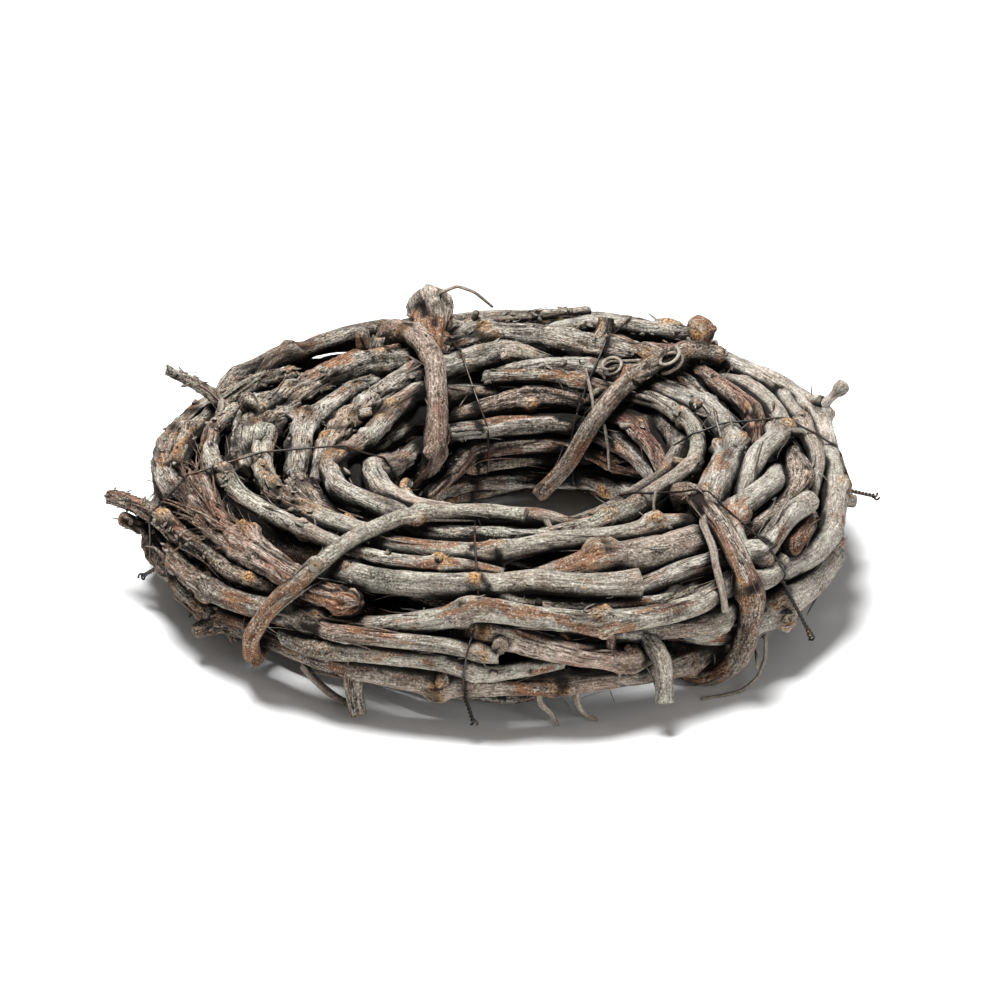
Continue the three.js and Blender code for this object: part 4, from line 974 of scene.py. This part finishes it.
def with_knob_at_tip(line):
    """A spur that is slim up to the small knob at its tip."""
    shares = np.linspace(1, 0, len(line.points))
    radii = line.radii * (1 - 0.4 * ease(0.1, 0.5, shares) + 0.5 * ease(0.7, 0.86, shares))
    return replace(line, radii=radii, reshaped=True)


def as_burl(line):
    """A rounded head on a neck nearly as thick."""
    radii = np.maximum(line.radii, BURL_NECK * line.radii.max()) * BURL_BREADTH
    return replace(line, radii=radii, reshaped=True)


RESHAPES = {("cane_right_branch", 2): with_knob_at_tip, ("cane_top_thick", 1): as_burl}


def own_twigs(node):
    """Skins of the twigs that the photo shows on a node and the CAD leaves out."""
    skins = []
    for index, (radius, end, places) in enumerate(TWIGS.get(node, [])):
        points, radii = smoothed([Vector(place) * MM for place in places], [radius * MM] * len(places), MM)
        twig = Line(node, points, radii * np.linspace(1, TWIG_TIP, len(radii)), 5)
        skins.append(bark_skin(twig, STUB_CELL, STYLES[SLOT[node]], f"{node}_twig_{index}", ("round", end)))
    return skins


def skins_of(node):
    """Open skins of a node's canes and shoots, and of what stands from them."""
    rng = seeded(node)
    skins = []
    hidden = "fill" in node or "core" in node
    rarer = RARER_HIDDEN if hidden else 1.0
    # Painted shade for canes in the gaps, on their bark, strips and stubs
    shade = SHADES.get(node, FILL_SHADE if hidden else 0.0)
    for index, line in enumerate(line for line in LINES if line.node == node):
        spot = (node, index)
        label = f"{node}_{index}"
        if line.root is not None and line.length < line.radii.max():
            line = as_knob(line)
        if spot in RESHAPES:
            line = RESHAPES[spot](line)
        line.radii = line.radii * THICKER.get(spot, 1.0)
        style = OWN_STYLES.get(spot, OWN_STYLES.get(node, STYLES[SLOT[node]]))
        drawn = drawn_ends(rng, CANE_ENDS, 2)
        ends = ENDS.get(spot, tuple(drawn))
        skins.append(bark_skin(line, cell_for(node), style, label, ends, shade, GNARLS.get(spot, 0.0)))
        if node.startswith("core") or line.reshaped or line.radii.mean() < FINE_TWIG:
            continue
        skins.extend(loose_strips(line, rng, STRIP_EVERY * rarer, shade / 2))
        skins.extend(stubs(line, rng, style, STUB_EVERY * rarer, f"{label}_stub", shade))
        skins.extend(spurs(line, rng, SPUR_EVERY * rarer))
        if not hidden:
            skins.extend(crust(line, rng))
    skins.extend(own_twigs(node))
    if node == "cane_front_torn":
        cane = next(line for line in LINES if line.node == node)
        skins.extend(torn_fibres(cane, rng))
    return skins


def dress(skins, name, node, finish):
    """Makes one piece of some open skins and puts it in the place of its CAD node."""
    piece = sealed(skins, name)
    piece.data.materials.append(finish)
    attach(piece, "root")
    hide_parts(node)


def dress_canes(finishes):
    """Bark over every cane node, in place of the plain CAD tubes."""
    for node in sorted({line.node for line in LINES}):
        dress(skins_of(node), f"{node}_bark", node, finishes[SLOT[node]])


# Finishes

def linear(colour):
    """A screen colour as light, with full opacity."""
    channels = [((colour >> shift) & 255) / 255 for shift in (16, 8, 0)]
    return [c / 12.92 if c <= 0.04045 else ((c + 0.055) / 1.055) ** 2.4 for c in channels] + [1.0]


# Screen colours of what shows in and on bark, wood and wire, and of painted shade
INKS = {name: linear(code) for name, code in {
    "moss": 0xe8eee2, "blush": 0xe4cfc4, "lichen": 0xb4b8ae, "flecks": 0xe6dfd2,
    "fissure": 0x15100c, "painted_shade": 0x0a0806, "bare_dark": 0x38241c, "bare_light": 0xc9a892,
    "scar_dark": 0x3f2a1c, "scar_light": 0x99714c, "scar_grey": 0xa09788,
    "ochre_dark": 0x553317, "ochre_light": 0xb0875a,
    "wood": 0xab9677, "wood_ring": 0x7d6549, "wood_grey": 0x8d857a, "wood_crack": 0x3a2e24,
    "wood_stain": 0xb97b40, "pith": 0x120d0a, "wire": 0x3c3a38, "wire_rust": 0x5a3d2c,
}.items()}


class Nodes:
    """Places and links the nodes of one material or group."""

    def __init__(self, tree):
        self.tree = tree

    def add(self, kind, inputs=None, **settings):
        node = self.tree.nodes.new(kind)
        for name, value in settings.items():
            setattr(node, name, value)
        for socket, value in (inputs or {}).items():
            self.feed(node.inputs[socket], value)
        return node

    def feed(self, socket, value):
        if isinstance(value, bpy.types.NodeSocket):
            self.tree.links.new(value, socket)
        else:
            socket.default_value = value

    def mask(self, name):
        node = self.add("ShaderNodeAttribute", attribute_name=name)
        return node.outputs["Fac"]

    def place(self, name):
        node = self.add("ShaderNodeAttribute", attribute_name=name)
        return node.outputs["Vector"]

    def math(self, operation, first, second=0.0, third=0.0, clamp=False):
        values = {0: first, 1: second, 2: third}
        return self.add("ShaderNodeMath", values, operation=operation, use_clamp=clamp).outputs[0]

    def product(self, first, second):
        return self.math("MULTIPLY", first, second)

    def total(self, base, *terms):
        """A base value plus each value times its weight, taken round a middle of a half."""
        for value, weight in terms:
            base = self.math("MULTIPLY_ADD", self.math("SUBTRACT", value, 0.5), weight, base)
        return base

    def ramp(self, value, low, high):
        node = self.add("ShaderNodeMapRange", {"Value": value, "From Min": low, "From Max": high},
                        interpolation_type="SMOOTHSTEP")
        return node.outputs[0]

    def shades(self, value, stops):
        """Colours along a value, given as (value, screen colour)."""
        node = self.add("ShaderNodeValToRGB", {"Fac": value})
        band = node.color_ramp.elements
        for index, (at, colour) in enumerate(stops):
            stop = band[index] if index < 2 else band.new(at)
            stop.position = at
            stop.color = linear(colour)
        return node.outputs["Color"]

    def blend(self, share, first, second, mode="MIX"):
        node = self.add("ShaderNodeMix", data_type="RGBA", blend_type=mode)
        self.feed(node.inputs[0], share)
        self.feed(node.inputs[6], first)
        self.feed(node.inputs[7], second)
        return node.outputs[2]

    def filmed(self, share, colour, film):
        """A colour with a share of it seen through a thin film."""
        return self.blend(share, colour, self.blend(1.0, colour, film, "MULTIPLY"))

    def noise(self, place, scale, detail=3.0, roughness=0.6, stretch=(1, 1, 1), shift=(0, 0, 0)):
        mapping = self.add("ShaderNodeMapping", {"Vector": place, "Scale": stretch, "Location": shift})
        node = self.add("ShaderNodeTexNoise", {
            "Vector": mapping.outputs[0], "Scale": scale, "Detail": detail, "Roughness": roughness})
        return node.outputs["Fac"]


def new_material(name):
    """A material, its nodes and its shader."""
    material = bpy.data.materials.new(name)
    material.use_nodes = True
    return material, Nodes(material.node_tree), material.node_tree.nodes["Principled BSDF"]


def new_group(name, inputs, outputs):
    """An empty node group with named sockets, and its nodes."""
    group = bpy.data.node_groups.new(name, "ShaderNodeTree")
    for socket, (kind, default) in inputs.items():
        made = group.interface.new_socket(socket, in_out="INPUT", socket_type=kind)
        made.default_value = default
    for socket, kind in outputs.items():
        group.interface.new_socket(socket, in_out="OUTPUT", socket_type=kind)
    return group, Nodes(group)


# Shades of weathered, of brown and of twigs' bark at places from dark to light, the outermost first
BARK_SHADES = [(0.0, 0x171412), (1.0, 0xcfcbc4), (0.18, 0x3a342f), (0.36, 0x69635b), (0.56, 0x908a82),
               (0.76, 0xaea9a1)]
RUST_SHADES = [(0.0, 0x29170f), (1.0, 0xc3a07c), (0.36, 0x67412c), (0.62, 0x946a4b)]
TWIG_SHADES = [(0.0, 0x3a3028), (1.0, 0xcfc6b8), (0.5, 0x93877a)]
WOOD_RINGS = 34.0                       # how fast the rings of cut wood follow each other
BARK_DEPTH = 1.3 * MM                   # of the bumps that only the finish gives
BARK_SHEEN = 0.22


def grain_of(nodes):
    """Noise drawn out along the cane, and noise that is alike all ways."""
    place = nodes.place("bark_place")
    spot = nodes.add("ShaderNodeTexCoord").outputs["Object"]
    return SimpleNamespace(
        streaks=nodes.noise(place, 1.0, 5.0, 0.7, (0.62, 0.62, 0.03)),
        threads=nodes.noise(place, 1.0, 3.0, 0.65, (1.6, 1.6, 0.13)),
        chips=nodes.noise(place, 1.0, 3.0, 0.6, (1.0, 1.0, 0.3)),
        hairs=nodes.noise(place, 1.0, 2.0, 0.6, (2.8, 2.8, 0.3)),
        mottle=nodes.noise(spot, 70.0, 4.0, 0.62),
        tints=nodes.noise(spot, 42.0, 3.0, 0.55, shift=(3, 7, 1)),
        specks=nodes.noise(spot, 800.0, 2.0, 0.6),
    )


def bleaching_and_shade(nodes, grain, lift, coarse):
    """How pale the bark is, from 0 in the dark to 1: its bleaching, and painted shade through the tone mask.
    """
    fibrous = nodes.total(0.0, (grain.threads, 1.75), (grain.hairs, 1.3), (grain.streaks, 0.6))
    level = nodes.total(lift, (grain.streaks, 0.3), (grain.chips, 1.1), (grain.mottle, 0.8),
                        (grain.specks, 0.9))
    level = nodes.math("MULTIPLY_ADD", fibrous, coarse, level)
    # The tone mask carries painted shade too, besides the bark's own tone
    for mask, weight in (("smooth", 0.04), ("grain", 0.24), ("tone", 0.07)):
        level = nodes.math("MULTIPLY_ADD", nodes.mask(mask), weight, level)
    return nodes.math("ADD", level, 0.55, clamp=True)


def inner_bark(nodes, grain, bare):
    """What shows where the outer bark has peeled."""
    colour = nodes.blend(nodes.ramp(grain.threads, 0.38, 0.6), INKS["bare_dark"], bare)
    return nodes.blend(nodes.ramp(grain.streaks, 0.56, 0.7), colour, INKS["bare_light"])


def scarred_bark(nodes, grain):
    """Brown bark with grey and ochre patches, for buds and scars."""
    colour = nodes.blend(nodes.ramp(grain.specks, 0.42, 0.56), INKS["scar_dark"], INKS["scar_light"])
    colour = nodes.blend(nodes.ramp(grain.chips, 0.46, 0.56), colour, INKS["scar_grey"])
    ochre = nodes.blend(nodes.ramp(grain.specks, 0.4, 0.52), INKS["ochre_dark"], INKS["ochre_light"])
    return nodes.blend(nodes.ramp(grain.tints, 0.48, 0.54), colour, ochre)


def cut_wood(nodes, grain):
    """Wood at the end of a cane, with rings, cracks and stains round its pith."""
    pith = nodes.mask("pith")
    rings = nodes.math("SINE", nodes.product(pith, WOOD_RINGS))
    colour = nodes.blend(nodes.math("MULTIPLY_ADD", rings, 0.2, 0.35), INKS["wood"], INKS["wood_ring"])
    for value, low, high, ink in ((grain.chips, 0.42, 0.56, "wood_grey"),
                                  (grain.hairs, 0.44, 0.34, "wood_crack"),
                                  (grain.mottle, 0.58, 0.66, "wood_stain"),
                                  (pith, 0.83, 0.92, "pith")):
        colour = nodes.blend(nodes.ramp(value, low, high), colour, INKS[ink])
    return colour


def bark_wear_and_shade_group():
    """Colour, roughness and height of weathered bark, with painted shade, from the masks that the skins
    carry.
    """
    inputs = {
        "Tint": ("NodeSocketColor", (1, 1, 1, 1)),
        "Lift": ("NodeSocketFloat", 0.0),
        "Bare": ("NodeSocketColor", linear(0x9a705c)),
        "Moss": ("NodeSocketFloat", 0.2),
        "Blush": ("NodeSocketFloat", 0.3),
    }
    outputs = {"Color": "NodeSocketColor", "Roughness": "NodeSocketFloat", "Height": "NodeSocketFloat"}
    group, nodes = new_group("weathered_bark", inputs, outputs)
    given = nodes.add("NodeGroupInput").outputs
    grain = grain_of(nodes)
    coarse = nodes.math("MULTIPLY_ADD", nodes.mask("smooth"), -0.7, 1.0)
    level = bleaching_and_shade(nodes, grain, given["Lift"], coarse)
    colour = nodes.blend(1.0, nodes.shades(level, BARK_SHADES), given["Tint"], "MULTIPLY")
    mossy = nodes.product(nodes.ramp(grain.tints, 0.52, 0.66), given["Moss"])
    colour = nodes.filmed(mossy, colour, INKS["moss"])
    blushing = nodes.product(nodes.ramp(grain.tints, 0.48, 0.34), given["Blush"])
    colour = nodes.filmed(blushing, colour, INKS["blush"])
    peeled = nodes.product(nodes.mask("peeled"), 0.85)
    colour = nodes.blend(peeled, colour, inner_bark(nodes, grain, given["Bare"]))
    rusty = nodes.total(0.5, (grain.threads, 1.2), (grain.streaks, 1.4), (grain.specks, 0.7))
    rusted = nodes.math("MULTIPLY_ADD", nodes.ramp(grain.chips, 0.38, 0.56), 0.58, 0.38)
    colour = nodes.blend(nodes.product(rusted, nodes.mask("rust")), colour, nodes.shades(rusty, RUST_SHADES))
    lichen = nodes.product(nodes.ramp(grain.tints, 0.56, 0.64), nodes.ramp(grain.specks, 0.46, 0.56))
    lichen = nodes.product(lichen, given["Moss"])
    colour = nodes.blend(nodes.product(lichen, 0.7), colour, INKS["lichen"])
    scarred = nodes.product(nodes.mask("knot"), nodes.ramp(grain.mottle, 0.38, 0.52))
    colour = nodes.blend(scarred, colour, scarred_bark(nodes, grain))
    colour = nodes.blend(nodes.product(nodes.ramp(grain.specks, 0.6, 0.68), 0.5), colour, INKS["flecks"])
    fissure = nodes.product(nodes.ramp(grain.threads, 0.41, 0.3), nodes.product(coarse, 0.7))
    fissure = nodes.math("MAXIMUM", fissure, nodes.product(nodes.mask("crevice"), 0.93))
    colour = nodes.blend(fissure, colour, INKS["fissure"])
    colour = nodes.blend(nodes.mask("cut"), colour, cut_wood(nodes, grain))
    twig = nodes.shades(nodes.total(0.5, (grain.streaks, 1.6), (grain.specks, 1.0)), TWIG_SHADES)
    colour = nodes.blend(nodes.mask("twig"), colour, twig)
    # Painted shade where the bark is shut in by its neighbours
    colour = nodes.blend(nodes.product(nodes.mask("painted_shade"), 0.96), colour, INKS["painted_shade"])
    height = nodes.total(0.5, (grain.threads, 0.9), (grain.streaks, 0.9), (grain.chips, 0.5),
                         (grain.specks, 0.25))
    rough = nodes.math("MULTIPLY_ADD", level, -0.12, 0.98)
    nodes.add("NodeGroupOutput", {"Color": colour, "Roughness": rough, "Height": height})
    return group


BARK_LOOKS = {
    "bark_grey": dict(tint=0xfffefb, lift=0.0, bare=0x977c6c, moss=0.5, blush=0.4),
    "bark_green": dict(tint=0xfdfbf4, lift=0.0, bare=0x917869, moss=0.45, blush=0.6),
    "bark_brown": dict(tint=0xfaeee6, lift=-0.07, bare=0x8c6a58, moss=0.25, blush=0.6),
    "bark_red": dict(tint=0xfae8df, lift=-0.04, bare=0x9e7462, moss=0.15, blush=0.8),
    "bark_pale": dict(tint=0xfffdf9, lift=0.06, bare=0xa18a79, moss=0.4, blush=0.4),
    "bark_dark": dict(tint=0xfdf9f4, lift=-0.05, bare=0x7b6354, moss=0.3, blush=0.4),
}


def bark_finishes():
    """A bark material for each slot."""
    wear_and_shade = bark_wear_and_shade_group()
    finishes = {}
    for slot, look in BARK_LOOKS.items():
        material, nodes, shader = new_material(slot)
        bark = nodes.add("ShaderNodeGroup", {
            "Tint": linear(look["tint"]), "Lift": look["lift"], "Bare": linear(look["bare"]),
            "Moss": look["moss"], "Blush": look["blush"]}, node_tree=wear_and_shade)
        bump = nodes.add("ShaderNodeBump", {"Height": bark.outputs["Height"], "Distance": BARK_DEPTH,
                                            "Strength": 1.0})
        nodes.feed(shader.inputs["Base Color"], bark.outputs["Color"])
        nodes.feed(shader.inputs["Roughness"], bark.outputs["Roughness"])
        nodes.feed(shader.inputs["Normal"], bump.outputs["Normal"])
        shader.inputs["Specular IOR Level"].default_value = BARK_SHEEN
        finishes[slot] = material
    return finishes


def wire_finish():
    """Dark iron with rust in patches."""
    material, nodes, shader = new_material("annealed_wire")
    spot = nodes.add("ShaderNodeTexCoord").outputs["Object"]
    rust = nodes.ramp(nodes.noise(spot, 160.0, 4.0), 0.5, 0.68)
    nodes.feed(shader.inputs["Base Color"], nodes.blend(rust, INKS["wire"], INKS["wire_rust"]))
    nodes.feed(shader.inputs["Roughness"], nodes.math("MULTIPLY_ADD", rust, 0.4, 0.32))
    shader.inputs["Metallic"].default_value = 0.8
    return material


# Binding wire

WIRE = 0.62 * MM            # radius
WIRE_SIDES = 8
WIRE_FINENESS = (3, 4)      # points for each ring of the CAD loop, then for each of these
RING_GROUP = 2.3 * MM       # corners closer than this belong to one ring of the CAD wire
PULLS = (160, 30)           # on the coarse curve, then on the fine one
TWIST_PITCH = 4.5 * MM
TWIST_POINTS = 40
SPLAY = 2.2                 # how far the two tips part, against the wire's radius


def read_wire(node):
    """Middles of a CAD wire's rings in order round its loop, and the tip of its twisted ends."""
    bm = merged(node)
    corners = np.array([tuple(vertex.co) for vertex in bm.verts])
    bm.free()
    groups = []
    for corner in corners:
        near = [group for group in groups if min(np.linalg.norm(group - corner, axis=1)) < RING_GROUP]
        joined = np.vstack(near + [corner[None]])
        groups = [group for group in groups if not any(group is other for other in near)] + [joined]
    middles = np.array([group.mean(axis=0) for group in groups])
    spreads = [np.linalg.norm(group - group.mean(axis=0), axis=1).mean() for group in groups]
    tip = middles[int(np.argmax(spreads))]
    centre = middles.mean(axis=0)
    radial = np.array([centre[0], centre[1], 0]) - np.array([RING_MIDDLE.x, RING_MIDDLE.y, 0])
    radial /= np.linalg.norm(radial)
    kept = [middle for middle in middles if np.linalg.norm(middle - tip) > 1e-6]
    kept.sort(key=lambda middle: math.atan2(middle[2] - centre[2], (middle - centre).dot(radial)))
    return np.array(kept), tip


def closed_curve(points, fineness):
    """A smooth closed curve through points, with so many places between each two."""
    before, after, beyond = np.roll(points, 1, 0), np.roll(points, -1, 0), np.roll(points, -2, 0)
    curve = []
    for step in range(fineness):
        t = step / fineness
        curve.append(0.5 * (2 * points + (after - before) * t
                            + (2 * before - 5 * points + 4 * after - beyond) * t ** 2
                            + (3 * points - before - 3 * after + beyond) * t ** 3))
    return np.stack(curve, axis=1).reshape(-1, 3)


def round_wire(points, radius, closed=False):
    """A wire of even thickness along points, as a mesh whose seam is still open."""
    if closed:
        points = np.vstack([points, points[:1]])
    asides, raised = frames_along(points)[1:]
    mesh, around, share = wrapped_grid(WIRE_SIDES, len(points) - 1)
    spots = np.linspace(0, 1, len(points))
    turn = around * 2 * math.pi
    if closed:
        # Turned little by little, so that the cross directions at the end meet those at the start
        turn = turn + share * math.atan2(raised[0].dot(asides[-1]), asides[0].dot(asides[-1]))
    lay(mesh, swept(along_line(points, spots, share), turn, radius, along_line(asides, spots, share),
                    radius, along_line(raised, spots, share)))
    return mesh


def twisted_ends(root, tip, inward):
    """The two ends of a loop twisted round each other, splayed at the tip."""
    ahead = tip - root
    length = np.linalg.norm(ahead)
    ahead /= length
    aside = np.cross(ahead, inward)
    aside /= np.linalg.norm(aside)
    raised = np.cross(aside, ahead)
    shares = np.linspace(0, 1, TWIST_POINTS)
    middle = root + np.outer(shares * length, ahead)
    apart = WIRE * (1 + SPLAY * ease(0.75, 1, shares))
    ends = []
    for side in (0, math.pi):
        turn = shares * 2 * math.pi * length / TWIST_PITCH + side
        ends.append(round_wire(swept(middle, turn, apart, aside, apart, raised), WIRE))
    return ends


def drawn_taut(curve, pulls):
    """A loop of wire pulled tight over the canes that it crosses."""
    for _ in range(pulls):
        curve = (np.roll(curve, 1, 0) + np.roll(curve, -1, 0)) / 2
        for i, point in enumerate(curve):
            spot, normal, _, away = CANE_SOLIDS.find_nearest(Vector(point))
            inside = (Vector(point) - spot).dot(normal) < 0
            if inside or away < WIRE:
                curve[i] = np.array(spot + normal * WIRE)
    return curve


def dress_wires(finish):
    """Thin round wire along each CAD loop, with its ends twisted together."""
    for node in sorted(NODES):
        if not node.startswith("wire"):
            continue
        rings, tip = read_wire(node)
        coarse = drawn_taut(closed_curve(rings, WIRE_FINENESS[0]), PULLS[0])
        curve = drawn_taut(closed_curve(coarse, WIRE_FINENESS[1]), PULLS[1])
        root = curve[int(np.linalg.norm(curve - tip, axis=1).argmin())]
        parts = [round_wire(curve, WIRE, closed=True)] + twisted_ends(root, tip, rings.mean(axis=0) - root)
        dress(parts, f"{node}_strand", node, finish)


# Floor, light and camera

FLOOR_REACH = 6
FLOOR_COLOUR = (0.9, 0.9, 0.9, 1)
FLOOR_ROUGHNESS = 0.9
AMBIENT = 0.2
# Place, breadth and power of each lamp
LAMPS = {"overhead": ((-0.22, 0.0, 1.7), 0.8, 64), "front": ((1.1, -1.8, 0.45), 1.0, 14)}
CAMERA_RISE = math.radians(26)
CAMERA_AWAY = 3.5
CAMERA_SHIFT = (0.003, -0.001)
LENS = 225
SENSOR = 36
FARTHEST_SEEN = 30


def set_stage():
    """A wide pale floor."""
    floor = shown("floor", flat_grid("floor", 1, 1, FLOOR_REACH))
    material, _, shader = new_material("pale_floor")
    shader.inputs["Base Color"].default_value = FLOOR_COLOUR
    shader.inputs["Roughness"].default_value = FLOOR_ROUGHNESS
    floor.data.materials.append(material)


def aimed(name, data, place, way):
    """A lamp or camera in the scene at a place, turned to look one way."""
    holder = shown(name, data)
    holder.location = place
    holder.rotation_euler = way.to_track_quat("-Z", "Y").to_euler()
    return holder


def add_lamp(name, place, breadth, power):
    """A round soft lamp that shines on the middle of the wreath."""
    lamp = bpy.data.lights.new(name, "AREA")
    lamp.shape = "DISK"
    lamp.size = breadth
    lamp.energy = power
    aimed(name, lamp, place, RING_MIDDLE - Vector(place))


def light_it():
    """Even light from all round, and the lamps."""
    world = bpy.data.worlds.new("studio")
    world.use_nodes = True
    backdrop = world.node_tree.nodes["Background"]
    backdrop.inputs["Color"].default_value = (1, 1, 1, 1)
    backdrop.inputs["Strength"].default_value = AMBIENT
    bpy.context.scene.world = world
    for name, (place, breadth, power) in LAMPS.items():
        add_lamp(name, place, breadth, power)


def set_camera():
    """The photo's view."""
    camera = bpy.data.cameras.new("camera")
    camera.lens = LENS
    camera.sensor_width = SENSOR
    camera.clip_end = FARTHEST_SEEN
    camera.shift_x, camera.shift_y = CAMERA_SHIFT
    back = Vector((0, -math.cos(CAMERA_RISE), math.sin(CAMERA_RISE)))
    bpy.context.scene.camera = aimed("camera", camera, RING_MIDDLE + back * CAMERA_AWAY, -back)


bpy.context.scene.view_settings.view_transform = "Standard"
set_camera()
set_stage()
light_it()
dress_canes(bark_finishes())
dress_wires(wire_finish())
